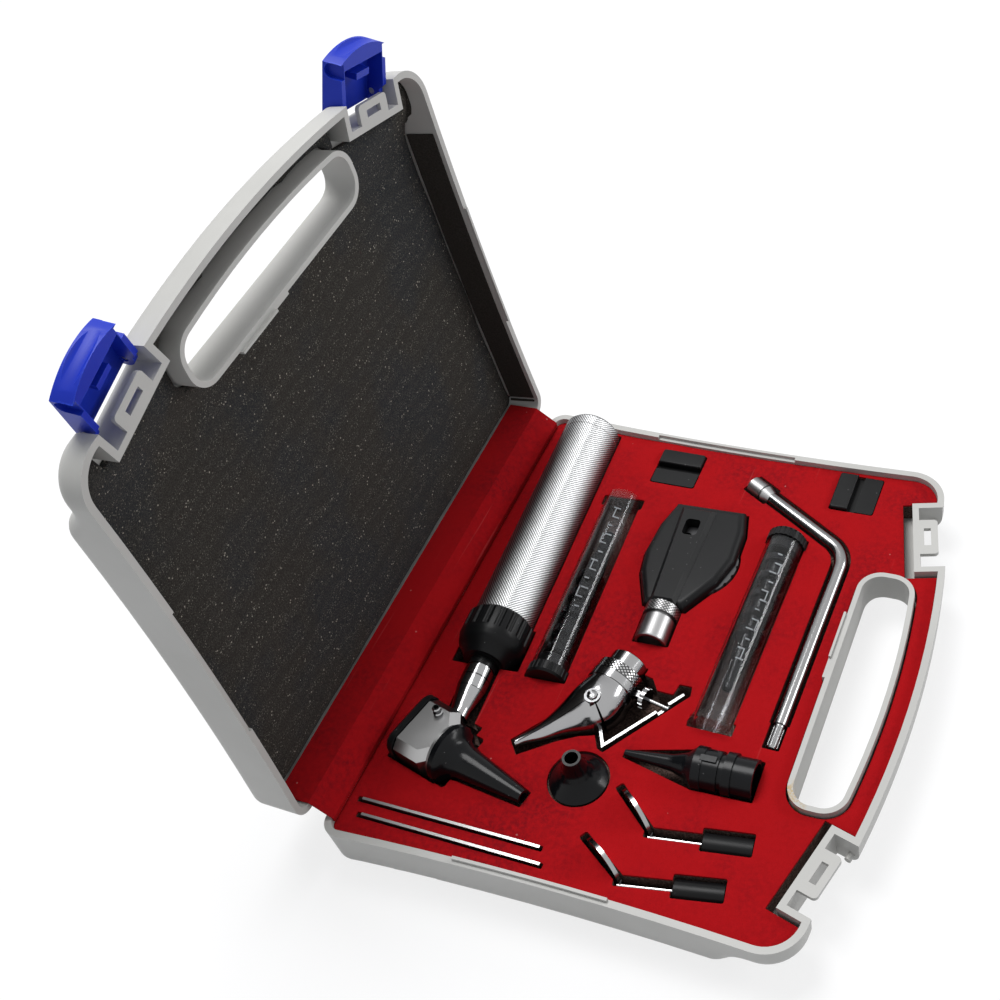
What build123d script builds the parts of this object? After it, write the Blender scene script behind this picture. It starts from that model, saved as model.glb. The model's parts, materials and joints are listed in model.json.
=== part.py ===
"""Carry case holding an otoscope, an ophthalmoscope and ear, nose and throat attachments.

Millimetres, +Z up. The origin lies in the middle of the base's underside, +X points at the
handle, +Y at the end where the battery handle's cap lies. The lid stands open.
"""
from build123d import *
import os
from math import atan2, cos, degrees, hypot, radians, sin, tan

# ---------------------------------------------------------------- case, one moulded half
HALF_DEPTH = 27.0         # parting plane to underside
HANDLE_DEPTH = 15.5       # the same at the thinner handle end
RIM_GAP = 0.3             # between the closed rims
WALL = 3.1
FLOOR = 2.6
DRAFT = 3.0               # degrees
EDGE_RADIUS = 8.0
HINGE_OFFSET = 118.0      # hinge axis to the origin
OPEN_ANGLE = 94.0         # how far the lid stands open
SPINE_X = 5.0             # hinge axis to the spine's outer face
CORNER_Y = 130.3          # half width at the corners of the bowed sides
WAIST_Y = 127.1           # half width at the middle of the sides
SPINE_CORNER_RADIUS = 8.0
SHOULDER_X = 219.2
SHOULDER_RADIUS = 18.0
CHAMFER_START = (220.0, 109.7)
CHAMFER_END = (229.5, 74.7)
HANDLE_X = 235.4          # crown of the bowed handle edge
RAMP_START = 185.0        # where the floor begins to rise
RAMP_END = 195.0
RAMP_RADIUS = 10.0

# latch notches in the handle edge
NOTCH_X = 224.8
NOTCH_Y = 92.2
NOTCH_ANGLE = 15.2
NOTCH_WIDTH = 36.3
NOTCH_DEPTH = 11.4
NOTCH_WALL = 3.0
PLATE_WIDTH = 21.0
PLATE_REACH = 8.6
PLATE_THICKNESS = 2.0
SLOT_WIDTH = 10.4
SLOT_DEPTH = 3.2
SLOT_INSET = 3.3          # plate's free edge to the slot
PIVOT_U = -4.2            # latch pivot, inward from the case edge
PIVOT_DROP = 10.0         # and below the parting plane
STUB_RADIUS = 1.5
STUB_LENGTH = 3.2

# handle opening
OPENING_X = 195.5         # straight side of the clear hole
OPENING_BOW_X = 221.1     # crown of its bowed side
OPENING_END_X = 216.6     # where that side meets the ends
OPENING_HALF = 62.0
OPENING_RADIUS = 9.0
OPENING_WALL = 2.4

# locating tongues on the rims
TONGUE_HEIGHT = 1.5
TONGUE_WIDTH = 1.4
TONGUE_X0 = 68.7
TONGUE_X1 = 139.3
TONGUE_CLEARANCE = 0.25
TONGUE_END_CLEARANCE = 1.8
GRIP_TONGUE_Y0 = 11.5
GRIP_TONGUE_Y1 = 37.0
GRIP_TONGUE_FOOT = 10.5   # the low strip beside the raised one
GRIP_TONGUE_WIDTH = 1.3

# hinge
KNUCKLE_Y = 80.0
KNUCKLE_RADIUS = 4.0
MIDDLE_KNUCKLE = 12.0
OUTER_KNUCKLE = 7.0
KNUCKLE_GAP = 0.3
PIN_RADIUS = 1.25
RUNNING_FIT = 0.05
LUG_SIZE = (2.2, 2.0)
LUG_CLEARANCE = 0.25

# ---------------------------------------------------------------- soft lining
SOFT_GAP = 0.3
FLEECE_LEVEL = -3.0       # top of the red lining, from the parting plane
FLEECE = 1.0
FIT = 0.45                # instruments in their pockets
LID_FOAM_LEVEL = 15.8     # foam face in the lid, above the parting plane
LID_FOAM_GRIP_LEVEL = 8.0 # the same round the handle opening
LID_FOAM_STEP_X = 184.5
NOTCH_RELIEF = 4.5        # lining to the notch walls, inward
NOTCH_SIDE_RELIEF = 1.5   # and beside them
OPENING_RELIEF = 1.0
FLAP = 0.8
FLAP_HALF = 122.5

# ---------------------------------------------------------------- latches
LATCH_WIDTH = 33.6
LATCH_OPEN = 75.0         # swing from closed to rest
LATCH_FACE = 4.2          # pivot to the outer face
LATCH_PANEL = 2.1
LATCH_CHEEK = 2.5
LATCH_HEEL = 4.0
LATCH_END = 22.5          # pivot to the ends of the arched lip
LATCH_CROWN = 26.5        # and to its crown
LATCH_LIP = 3.0
LATCH_DEPTH_HEEL = 5.9    # side walls, inward from the pivot
LATCH_DEPTH_END = 4.5
GRIP_RADIUS = 4.6
GRIP_DEPTH = 2.0
THUMB_RECESS = 3.3          # round relief that clears the other half's stub
THUMB_SETBACK = 0.7
HOOK_WIDTH = 9.4
HOOK_THICKNESS = 3.0
HOOK_REACH = 8.9          # hook tip, inward from the case edge
HOOK_CLEARANCE = 0.35

# ---------------------------------------------------------------- battery handle and otoscope
HANDLE_AXIS_Z = -1.2
HANDLE_AXIS_X = 36.5
HANDLE_TURN = 92.57
HANDLE_RADIUS = 14.75
HANDLE_WALL = 1.35
HANDLE_START = -7.0
HANDLE_END = 114.5
CAP_LENGTH = 8.0
CAP_THREAD = 6.0
CELL_RADIUS = HANDLE_RADIUS - HANDLE_WALL - 0.5
CELL_LENGTH = 48.0
CELL_NUB = 1.5
CELL_START = 6.0
SPRING_WIRE = 0.5
SPRING_COIL = 6.0
SPRING_TURNS = 3
COLLAR_RADIUS = 16.5
COLLAR_LENGTH = 22.8
COLLAR_GAP = 0.2
FLUTES = 18
NECK_RADIUS = 8.0
NECK_RING_RADIUS = 6.5
NECK_END = -33.5

HEAD_X = 19.3
HEAD_Y = -71.8
HEAD_TURN = -15.28
HEAD_TOP = 9.2            # flat face above the optical axis
HEAD_BOTTOM = 9.6
HEAD_LEFT = 13.2          # half widths of the housing, away from the neck and towards it
HEAD_RIGHT = 17.0
HEAD_START = 4.9
HEAD_END = 23.0
HEAD_BEVEL = 4.0
HEAD_BORE = 7.5
HEAD_RING_RADIUS = 12.6
HEAD_RING = 1.6
WINDOW_THICKNESS = 4.4
WINDOW_PIVOT_T = 12.6
WINDOW_PIVOT_Z = 4.4
WINDOW_STUD = 1.2
LENS_RADIUS = 7.0
SPECULUM_WALL = 1.1
SKIRT_RADIUS = 13.8
FUNNEL_LENGTH = 43.4
FUNNEL_TIP = 3.2
STEM_RADIUS = 7.0
STEM_TIP_RADIUS = 4.8

# ---------------------------------------------------------------- specula tubes
TUBE_RADIUS = 9.0
TUBE_WALL = 1.0
TUBE_LENGTH = 107.5
TUBE_CAP_RADIUS = 9.8
TUBE_CAP_LENGTH = 5.5
TUBE_PLUG = 6.0
TUBE_RIBS = 24
TUBE_A_FOOT = -0.4
TUBE_B_FOOT = 1.3
TUBE_FOOT_LENGTH = 6.0
TUBE_A_PLACE = (67.25, 2.35, -4.5)   # a quarter of the tube's length from its mouth
TUBE_A_TURN = 92.46
TUBE_B_PLACE = (152.27, 44.13, -3.0)
TUBE_B_TURN = -90.7
STACK_COUNT = 5
STACK_PITCH = 11.0
STACK_LENGTH = 32.0
STACK_RADIUS = 6.9
STACK_TIP = 2.2
STACK_WALL = 0.9

# ---------------------------------------------------------------- ophthalmoscope
SCOPE_X = 109.0
SCOPE_Y = 1.0
SCOPE_Z = -3.4
SCOPE_TURN = 92.0
SCOPE_RISE = 5.4          # shoulders of the body above its axis
SCOPE_RIB = 7.6           # crest of the rib
SCOPE_DROP = 8.0
SCOPE_BODY_START = 20.0
SCOPE_BODY_END = 83.0
SCOPE_ROUND = 4.0
SOCKET_RADIUS = 8.0
SOCKET_BORE = 6.4
SOCKET_RING = 8.6
WHEEL_RADIUS = 22.0
WHEEL_THICKNESS = 2.4
WHEEL_GAP = 0.3
WHEEL_AXLE = 1.5
WHEEL_ALONG = 51.0
WHEEL_ASIDE = -5.0
WHEEL_LENSES = 12
WHEEL_LENS_RADIUS = 2.6
WHEEL_LENS_CIRCLE = 15.8
SIGHT_ALONG = 66.0
SIGHT_SIZE = (10.0, 7.5)

# ---------------------------------------------------------------- bent arm light
ARM_Z = -4.3
ARM_RADIUS = 3.4
ARM_SOCKET_RADIUS = 4.8
ARM_SOCKET_LENGTH = 14.0
ARM_BEND = 16.0
ARM_START = (124.5, 107.0)
ARM_KNEE = (181.5, 74.0)
ARM_END = (180.3, -26.0)
ARM_TIP_LENGTH = 12.0
ARM_SLOT = 9.4

# ---------------------------------------------------------------- nasal speculum
NASAL_X = 104.1
NASAL_Y = -11.0
NASAL_Z = -3.6
NASAL_TURN = -101.8
NASAL_PIVOT = (29.3, 1.3)   # along the axis and aside
NASAL_RING = 12.3
NASAL_SOCKET = 9.3
NASAL_HORN = 12.0         # height of the bell at the pivot
BEAK_TURN = -38.0         # the beak against the socket axis
BEAK_LENGTH = 39.0
BEAK_TIP = 1.9
BEAK_GAP = 0.3
BEAK_OPEN = 5.0
PIVOT_BOSS = 2.2
BEAK_RELIEF = BEAK_OPEN + 1.0   # wedge between bell and moving half
EAR_RADIUS = 3.7
EAR_THICKNESS = 1.0
SCREW_RADIUS = 1.2
LEVER_FOOT = (103.6, -47.0)
LEVER_HEEL = (108.5, -56.0)
LEVER_END = (134.3, -21.8)
LEVER_THICKNESS = 1.4
LEVER_HEIGHT = 8.4
LEVER_TOP = -2.6
LEVER_SLOT = (28.2, 34.6)   # along the lever from its heel
THUMB_ALONG = 13.5
THUMB_ROD = 0.9
THUMB_KNOB = 5.0
THUMB_KNOB_WIDTH = 2.2
THUMB_REACH = 16.9
THUMB_BOSS = 3.0

# ---------------------------------------------------------------- loose specula
LARGE_X = 104.5
LARGE_Y = -74.2
LARGE_Z = -4.6
LARGE_RADIUS = 13.0
LARGE_HEIGHT = 18.0
LARGE_TIP = 4.1
LARGE_WALL = 1.1
ADAPTER_X = 120.0
ADAPTER_Y = -57.2
ADAPTER_Z = -2.0
ADAPTER_TURN = 1.5
ADAPTER_CONE = 33.0
ADAPTER_RADIUS = 9.8
ADAPTER_RIDGE = 3.9
ADAPTER_WAIST = 7.2
ADAPTER_GROOVE = 2.4
ADAPTER_MOUTH = 9.3
ADAPTER_TIP = 1.5

# ---------------------------------------------------------------- mirrors
MIRROR_RADIUS = 12.5
MIRROR_FRAME = 1.8
MIRROR_RIM = 1.0
MIRROR_GLASS = 0.8
MIRROR_Z = -8.0
MIRROR_STEM = 1.3
MIRROR_STEM_LENGTH = 23.0
SLEEVE_RADIUS = 5.0
SLEEVE_LENGTH = 21.5
MIRROR_1_PLACE = (143.3, -90.1)
MIRROR_1_FACE = 141.0
MIRROR_1_STEM = 7.5
MIRROR_2_PLACE = (138.8, -113.9)
MIRROR_2_FACE = 146.8
MIRROR_2_STEM = 9.5

# ---------------------------------------------------------------- blades and blocks
BLADE_THICKNESS = 1.2
BLADE_HEIGHT = 12.0
BLADE_TOP = -1.4
BLADE_LENGTH = 88.0
BLADE_1_PLACE = (13.8, -109.0)
BLADE_1_TURN = -0.3
BLADE_2_PLACE = (17.0, -116.1)
BLADE_2_TURN = -0.4
BLOCK_SIZE = (23.0, 21.5, 12.0)
BLOCK_TOP = -1.0
BLOCK_GROOVE = 3.4
BLOCK_GROOVE_DEPTH = 4.0
BLOCK_STEP = 1.8            # the lower tab below the raised one
BLOCK_ROUND = 0.9
BLOCK_1_PLACE = (84.0, 107.8)
BLOCK_2_PLACE = (176.8, 111.0)


# ---------------------------------------------------------------- frames and helpers
def placed(frame, x=0.0, y=0.0, z=0.0, turn=(0, 0, 0)):
    """A plane at a place inside another frame, turned in degrees about its axes."""
    return Plane(frame.location * Location((x, y, z), turn))


case_frame = Plane(origin=(-HINGE_OFFSET, 0, HALF_DEPTH))
lid_frame = placed(case_frame, turn=(0, -OPEN_ANGLE, 0))
lid_shell_frame = placed(lid_frame, turn=(180, 0, 0))


def turn_outline(frame, points, mode=Mode.ADD):
    """Revolve a closed outline of (along, radius) points about the frame's X axis."""
    with BuildSketch(frame) as outline:
        with BuildLine():
            Polyline(*points, close=True)
        make_face()
    revolve(outline.sketch, axis=Axis(frame.origin, frame.x_dir), mode=mode)


def prism(frame, points, depth, mode=Mode.ADD, radius=0.0):
    """Extrude a polygon of the frame's XY plane along its Z axis."""
    with BuildSketch(frame) as outline:
        with BuildLine():
            Polyline(*points, close=True)
        make_face()
        if radius:
            fillet(outline.vertices(), radius)
    extrude(outline.sketch, amount=depth, mode=mode)


def block(frame, x_range, y_range, depth, mode=Mode.ADD, radius=0.0):
    """Extrude a rectangle given by its ranges."""
    points = [(x_range[0], y_range[0]), (x_range[1], y_range[0]),
              (x_range[1], y_range[1]), (x_range[0], y_range[1])]
    prism(frame, points, depth, mode, radius)


def finish(builder, label):
    """Label a finished piece and write it."""
    builder.part.label = label
    export_step(builder.part, "parts/" + label + ".step")


# ---------------------------------------------------------------- moulded case half
def plan_outline(plane, inset=0.0):
    """Straight spine, bowed sides, rounded shoulders, cut corners and bowed handle edge."""
    with BuildSketch(plane) as outline:
        with BuildLine():
            spine_corner = (SPINE_X, CORNER_Y)
            shoulder = (SHOULDER_X, CORNER_Y)
            ThreePointArc(spine_corner, ((SPINE_X + SHOULDER_X) / 2, WAIST_Y), shoulder)
            Polyline(shoulder, CHAMFER_START, CHAMFER_END)
            mirror(about=Plane.XZ)
            ThreePointArc(CHAMFER_END, (HANDLE_X, 0), (CHAMFER_END[0], -CHAMFER_END[1]))
            Line((SPINE_X, CORNER_Y), (SPINE_X, -CORNER_Y))
        make_face()
        fillet(outline.vertices().group_by(Axis.X)[0], SPINE_CORNER_RADIUS)
        fillet([v for v in outline.vertices() if abs(v.X - SHOULDER_X) < 0.01], SHOULDER_RADIUS)
        if inset:
            offset(amount=-inset)
    return outline.sketch


def outer_edges(faces):
    """Edges that belong to only one of the faces."""
    edges = [edge for face in faces for edge in face.edges()]
    return [edge for edge in edges if sum(edge.is_same(other) for other in edges) == 1]


def tub(frame, inset=0.0, floor=0.0, radius=EDGE_RADIUS):
    """Solid inside drafted walls and over the stepped floor, from the rim down."""
    slope = atan2(HALF_DEPTH - HANDLE_DEPTH, RAMP_END - RAMP_START)
    shift = floor * tan(slope / 2)
    low = -HALF_DEPTH + floor
    high = -HANDLE_DEPTH + floor
    reach = HANDLE_X + WALL
    with BuildPart() as body:
        rim = frame.offset(-RIM_GAP / 2)
        extrude(plan_outline(rim, inset), amount=HALF_DEPTH, dir=-frame.z_dir, taper=DRAFT)
        with BuildSketch(placed(frame, turn=(90, 0, 0))) as profile:
            with BuildLine():
                Polyline((-WALL, WALL), (-WALL, low), (RAMP_START - shift, low),
                         (RAMP_END - shift, high), (reach, high), (reach, WALL), close=True)
            make_face()
            bends = [v for v in profile.vertices() if RAMP_START / 2 < v.X < OPENING_X]
            fillet(bends, RAMP_RADIUS)
        extrude(profile.sketch, amount=CORNER_Y, both=True, mode=Mode.INTERSECT)
        down = -frame.z_dir
        floors = [face for face in body.faces() if face.normal_at().dot(down) > 0.3]
        fillet(outer_edges(floors), radius)
    return body.part


def notch_frame(frame, side, z=0.0):
    """X points outward from the case's cut corner, Y runs along it."""
    return placed(frame, NOTCH_X, side * NOTCH_Y, z, (0, 0, side * NOTCH_ANGLE))


def notch_block(frame, side, margin, mode, side_margin=None):
    """Full-height block of the notch, grown by a margin."""
    local = notch_frame(frame, side, WALL)
    half = NOTCH_WIDTH / 2 + (margin if side_margin is None else side_margin)
    block(local, (-NOTCH_DEPTH - margin, NOTCH_DEPTH), (-half, half), -HALF_DEPTH - 2 * WALL, mode)


def opening_outline(plane, growth=0.0):
    """Handle opening: straight towards the spine, bowed towards the handle edge."""
    with BuildSketch(plane) as outline:
        with BuildLine():
            Polyline((OPENING_END_X, -OPENING_HALF), (OPENING_X, -OPENING_HALF),
                     (OPENING_X, OPENING_HALF), (OPENING_END_X, OPENING_HALF))
            ThreePointArc((OPENING_END_X, OPENING_HALF), (OPENING_BOW_X, 0),
                          (OPENING_END_X, -OPENING_HALF))
        make_face()
        fillet(outline.vertices(), OPENING_RADIUS)
        if growth:
            offset(amount=growth)
    return outline.sketch


def rim_strip(plane, start, stop, side, height, outer, inner):
    """Strip that follows the bowed side, between two insets from the outer face."""
    with BuildPart() as strip:
        extrude(plan_outline(plane, outer), amount=height)
        extrude(plan_outline(plane, inner), amount=height, mode=Mode.SUBTRACT)
        far = side * (CORNER_Y + WALL)
        near = side * WAIST_Y / 2
        block(plane, (start, stop), (min(near, far), max(near, far)), height, Mode.INTERSECT)
    return strip.part


def knuckle(frame, start, length, lug):
    """Hinge barrel with the arm that carries it from the spine wall."""
    plane = placed(frame, 0, start, 0, (-90, 0, 0))
    with BuildSketch(plane) as section:
        Circle(KNUCKLE_RADIUS)
        arm_top = RIM_GAP
        with Locations((SPINE_X / 2 + WALL / 4, (KNUCKLE_RADIUS + arm_top) / 2)):
            Rectangle(SPINE_X + WALL / 2, KNUCKLE_RADIUS - arm_top)
        if lug:
            swing = radians(OPEN_ANGLE)
            out = SPINE_X - LUG_CLEARANCE - LUG_SIZE[0] / 2
            lug_x = out * cos(swing) - LUG_SIZE[1] * sin(swing)
            lug_z = out * sin(swing) + LUG_SIZE[1] * cos(swing)
            with Locations(Location((lug_x, -lug_z, 0), (0, 0, -OPEN_ANGLE))):
                Rectangle(*LUG_SIZE)
        Circle(PIN_RADIUS + RUNNING_FIT, mode=Mode.SUBTRACT)
    extrude(section.sketch, amount=length)


def knuckle_starts():
    """Lower ends of the two outer barrels at their station."""
    middle = MIDDLE_KNUCKLE / 2 + KNUCKLE_GAP
    return (KNUCKLE_Y - middle - OUTER_KNUCKLE, KNUCKLE_Y + middle)


def case_half(frame):
    """One moulding: tub, latch notches, handle opening, locating tongues and hinge barrels."""
    rim = frame.offset(-RIM_GAP / 2)
    grip_floor = -HANDLE_DEPTH + FLOOR / 2
    with BuildPart() as cavity:
        add(tub(frame, WALL, FLOOR, EDGE_RADIUS - WALL))
        for side in (1, -1):
            notch_block(frame, side, NOTCH_WALL, Mode.SUBTRACT)
        extrude(opening_outline(frame, OPENING_WALL), amount=-HALF_DEPTH, mode=Mode.SUBTRACT)
        foot_x = OPENING_X - OPENING_WALL - GRIP_TONGUE_WIDTH
        block(rim, (foot_x, OPENING_X), (GRIP_TONGUE_Y0 - GRIP_TONGUE_FOOT, GRIP_TONGUE_Y1),
              grip_floor, Mode.SUBTRACT)
    with BuildPart() as half:
        add(tub(frame))
        add(cavity.part, mode=Mode.SUBTRACT)
        for side in (1, -1):
            notch_block(frame, side, 0.0, Mode.SUBTRACT)
            with BuildSketch(notch_frame(frame, side, -RIM_GAP / 2)) as plate:
                root = 1.0
                with Locations((-NOTCH_DEPTH + (PLATE_REACH - root) / 2, 0)):
                    Rectangle(PLATE_REACH + root, PLATE_WIDTH)
                fillet(plate.vertices().group_by(Axis.X)[-1], PLATE_THICKNESS)
                slot_x = -NOTCH_DEPTH + PLATE_REACH - SLOT_INSET - SLOT_DEPTH / 2
                with Locations((slot_x, 0)):
                    Rectangle(SLOT_DEPTH, SLOT_WIDTH, mode=Mode.SUBTRACT)
            extrude(plate.sketch, amount=-PLATE_THICKNESS)
            for end in (1, -1):
                pivot = placed(notch_frame(frame, side, -PIVOT_DROP), PIVOT_U,
                               end * NOTCH_WIDTH / 2, 0, (end * 90, 0, 0))
                with BuildSketch(pivot) as stub:
                    Circle(STUB_RADIUS)
                extrude(stub.sketch, amount=STUB_LENGTH)
        extrude(opening_outline(frame), amount=-HALF_DEPTH, mode=Mode.SUBTRACT)
        strip = (foot_x, foot_x + GRIP_TONGUE_WIDTH - TONGUE_CLEARANCE)
        block(rim, strip, (GRIP_TONGUE_Y0, GRIP_TONGUE_Y1), TONGUE_HEIGHT)
        add(rim_strip(rim, TONGUE_X0, TONGUE_X1, -1, TONGUE_HEIGHT, WALL - TONGUE_WIDTH,
                      WALL - TONGUE_CLEARANCE / 5))
        add(rim_strip(rim, TONGUE_X0 - TONGUE_END_CLEARANCE, TONGUE_X1 + TONGUE_END_CLEARANCE, 1,
                      -TONGUE_HEIGHT - TONGUE_CLEARANCE, WALL - TONGUE_WIDTH - TONGUE_CLEARANCE,
                      WALL + FLOOR), mode=Mode.SUBTRACT)
        for start in knuckle_starts():
            knuckle(frame, start, OUTER_KNUCKLE, False)
        knuckle(frame, -KNUCKLE_Y - MIDDLE_KNUCKLE / 2, MIDDLE_KNUCKLE, True)
    return half


def hinge_pins():
    """One pin through each group of three barrels."""
    reach = MIDDLE_KNUCKLE / 2 + KNUCKLE_GAP + OUTER_KNUCKLE
    with BuildPart() as pins:
        for y in (-KNUCKLE_Y, KNUCKLE_Y):
            with BuildSketch(placed(case_frame, 0, y, 0, (-90, 0, 0))) as section:
                Circle(PIN_RADIUS)
            extrude(section.sketch, amount=reach, both=True)
    return pins


def latch(side):
    """Swing latch: X runs from the pivot to the free end, Z towards the finger side."""
    closed = notch_frame(lid_frame, side, PIVOT_DROP)
    frame = placed(closed, PIVOT_U, 0, 0, (0, 90 - LATCH_OPEN, 0))
    half = LATCH_WIDTH / 2
    with BuildPart() as piece:
        with BuildSketch(placed(frame, 0, 0, LATCH_FACE)) as plan:
            with BuildLine():
                Polyline((LATCH_END, -half), (-LATCH_HEEL, -half), (-LATCH_HEEL, half),
                         (LATCH_END, half))
                ThreePointArc((LATCH_END, half), (LATCH_CROWN, 0), (LATCH_END, -half))
            make_face()
        extrude(plan.sketch, amount=-LATCH_FACE - LATCH_DEPTH_HEEL)
        with BuildSketch(placed(frame, 0, half, 0, (90, 0, 0))) as outline:
            with BuildLine():
                Polyline((-LATCH_HEEL, 0), (-LATCH_HEEL, LATCH_FACE), (LATCH_CROWN, LATCH_FACE),
                         (LATCH_CROWN, -LATCH_DEPTH_END), (LATCH_FACE, -LATCH_DEPTH_HEEL),
                         (LATCH_HEEL / 2, -LATCH_HEEL))
                ThreePointArc((LATCH_HEEL / 2, -LATCH_HEEL), (-LATCH_HEEL / 2, -LATCH_HEEL * 0.8),
                              (-LATCH_HEEL, 0))
            make_face()
        extrude(outline.sketch, amount=LATCH_WIDTH, mode=Mode.INTERSECT)
        inner = half - LATCH_CHEEK
        block(placed(frame, 0, 0, LATCH_FACE - LATCH_PANEL), (-2 * LATCH_HEEL, LATCH_END - LATCH_LIP),
              (-inner, inner), -LATCH_FACE - LATCH_DEPTH_HEEL, Mode.SUBTRACT)
        groove = placed(frame, LATCH_CROWN - GRIP_DEPTH + GRIP_RADIUS, -half, -0.4, (-90, 0, 0))
        with BuildSketch(groove) as scoop:
            Circle(GRIP_RADIUS)
        extrude(scoop.sketch, amount=LATCH_WIDTH, mode=Mode.SUBTRACT)
        relief = STUB_LENGTH - (NOTCH_WIDTH - LATCH_WIDTH) / 2 + SOFT_GAP
        for end in (1, -1):
            cheek = placed(frame, 2 * PIVOT_DROP - THUMB_SETBACK, end * half, 0, (end * 90, 0, 0))
            with BuildSketch(cheek) as thumb:
                Circle(THUMB_RECESS)
                with Locations((0, -end * LATCH_DEPTH_HEEL / 2)):
                    Rectangle(2 * THUMB_RECESS, LATCH_DEPTH_HEEL + 0.4)
            extrude(thumb.sketch, amount=relief, mode=Mode.SUBTRACT)
        with BuildSketch(placed(frame, 0, -half, 0, (-90, 0, 0))) as bore:
            Circle(STUB_RADIUS + RUNNING_FIT)
        extrude(bore.sketch, amount=LATCH_WIDTH, mode=Mode.SUBTRACT)
        hook_start = PIVOT_DROP + RIM_GAP / 2 + PLATE_THICKNESS + HOOK_CLEARANCE
        hook_tip = -HOOK_REACH - PIVOT_U
        panel_in = LATCH_FACE - LATCH_PANEL
        block(placed(frame, 0, 0, panel_in), (hook_start, hook_start + HOOK_THICKNESS),
              (-HOOK_WIDTH / 2, HOOK_WIDTH / 2), hook_tip - panel_in)
    return piece


# ---------------------------------------------------------------- battery handle
handle_frame = placed(case_frame, HANDLE_AXIS_X, 0, HANDLE_AXIS_Z, (0, 0, HANDLE_TURN))
head_frame = placed(case_frame, HEAD_X, HEAD_Y, HANDLE_AXIS_Z, (0, 0, HEAD_TURN))


def handle_tube():
    """Tube for two cells, open at the cap end and closed round the neck."""
    bore = HANDLE_RADIUS - HANDLE_WALL
    mouth = NECK_RADIUS + RUNNING_FIT
    with BuildPart() as tube:
        turn_outline(handle_frame, [(HANDLE_START, mouth), (HANDLE_START, HANDLE_RADIUS - 0.6),
                                    (HANDLE_START + 0.6, HANDLE_RADIUS), (HANDLE_END, HANDLE_RADIUS),
                                    (HANDLE_END, bore), (HANDLE_START + HANDLE_WALL, bore),
                                    (HANDLE_START + HANDLE_WALL, mouth)])
    return tube


def handle_end_cap():
    """Domed screw cap with its threaded collar inside the tube."""
    thread = HANDLE_RADIUS - HANDLE_WALL - RUNNING_FIT
    end = HANDLE_END + CAP_LENGTH
    with BuildPart() as cap:
        turn_outline(handle_frame, [(HANDLE_END - CAP_THREAD, 0), (HANDLE_END - CAP_THREAD, 3),
                                    (HANDLE_END, 3), (HANDLE_END, thread - 1.5),
                                    (HANDLE_END - CAP_THREAD, thread - 1.5),
                                    (HANDLE_END - CAP_THREAD, thread), (HANDLE_END, thread),
                                    (HANDLE_END, HANDLE_RADIUS - 0.5),
                                    (HANDLE_END + 0.5, HANDLE_RADIUS),
                                    (end - 2.5, HANDLE_RADIUS), (end - 0.8, HANDLE_RADIUS - 1.2),
                                    (end, HANDLE_RADIUS - 3.5), (end, 0)])
    return cap


def battery_cells():
    """Two round cells, each with its contact nub towards the head."""
    with BuildPart() as cells:
        for number in (0, 1):
            start = CELL_START + number * (CELL_LENGTH + CELL_NUB + RIM_GAP)
            turn_outline(handle_frame, [(start, 0), (start, 3.5), (start + CELL_NUB, 3.5),
                                        (start + CELL_NUB, CELL_RADIUS - 1),
                                        (start + CELL_NUB + 1, CELL_RADIUS),
                                        (start + CELL_NUB + CELL_LENGTH - 0.8, CELL_RADIUS),
                                        (start + CELL_NUB + CELL_LENGTH, CELL_RADIUS - 0.8),
                                        (start + CELL_NUB + CELL_LENGTH, 0)])
    return cells


def battery_spring():
    """Coil spring between the last cell and the cap."""
    start = CELL_START + 2 * (CELL_LENGTH + CELL_NUB) + 2 * RIM_GAP + SPRING_WIRE
    length = HANDLE_END - RIM_GAP - SPRING_WIRE - start
    seat = placed(handle_frame, start)
    with BuildPart() as spring:
        with BuildLine() as coil:
            Helix(length / SPRING_TURNS, length, SPRING_COIL, center=seat.origin, direction=seat.x_dir)
        with BuildSketch(Plane(coil.line @ 0, z_dir=coil.line % 0)) as wire:
            RegularPolygon(SPRING_WIRE, 6)
        sweep(wire.sketch, path=coil.line, is_frenet=True)
    return spring


def rheostat_collar():
    """Fluted brightness ring that turns on the neck and closes down to it in a dome."""
    start = HANDLE_START - COLLAR_GAP
    end = start - COLLAR_LENGTH
    bore = NECK_RADIUS + RUNNING_FIT
    with BuildPart() as collar:
        turn_outline(handle_frame, [(start, bore), (start, COLLAR_RADIUS - 1.0),
                                    (start - 1.2, COLLAR_RADIUS), (start - 12.5, COLLAR_RADIUS),
                                    (start - 16.5, COLLAR_RADIUS - 1.3),
                                    (start - 19.5, COLLAR_RADIUS - 4.0),
                                    (end, bore + 2.2), (end, bore)])
        flute = placed(handle_frame, start, 0, 0, (0, -90, 0))
        with BuildSketch(flute) as cuts:
            with PolarLocations(COLLAR_RADIUS + 1.0, FLUTES):
                Circle(1.9)
        extrude(cuts.sketch, amount=11.0, mode=Mode.SUBTRACT)
    return collar


def handle_neck():
    """Core that carries the collar: flange in the tube, journal, and the locking ring."""
    flange = HANDLE_RADIUS - HANDLE_WALL - RUNNING_FIT
    seat = HANDLE_START + HANDLE_WALL
    collar_end = HANDLE_START - COLLAR_GAP - COLLAR_LENGTH
    with BuildPart() as neck:
        turn_outline(handle_frame, [(CELL_START - RIM_GAP, 0), (CELL_START - RIM_GAP, 2.5),
                                    (seat + 6, 2.5), (seat + 6, 5.0), (seat + 3, 5.0),
                                    (seat + 3, flange), (seat, flange), (seat, NECK_RADIUS),
                                    (collar_end - COLLAR_GAP, NECK_RADIUS),
                                    (collar_end - COLLAR_GAP, NECK_RING_RADIUS),
                                    (NECK_END, NECK_RING_RADIUS), (NECK_END, 0)])
    return neck


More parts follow.
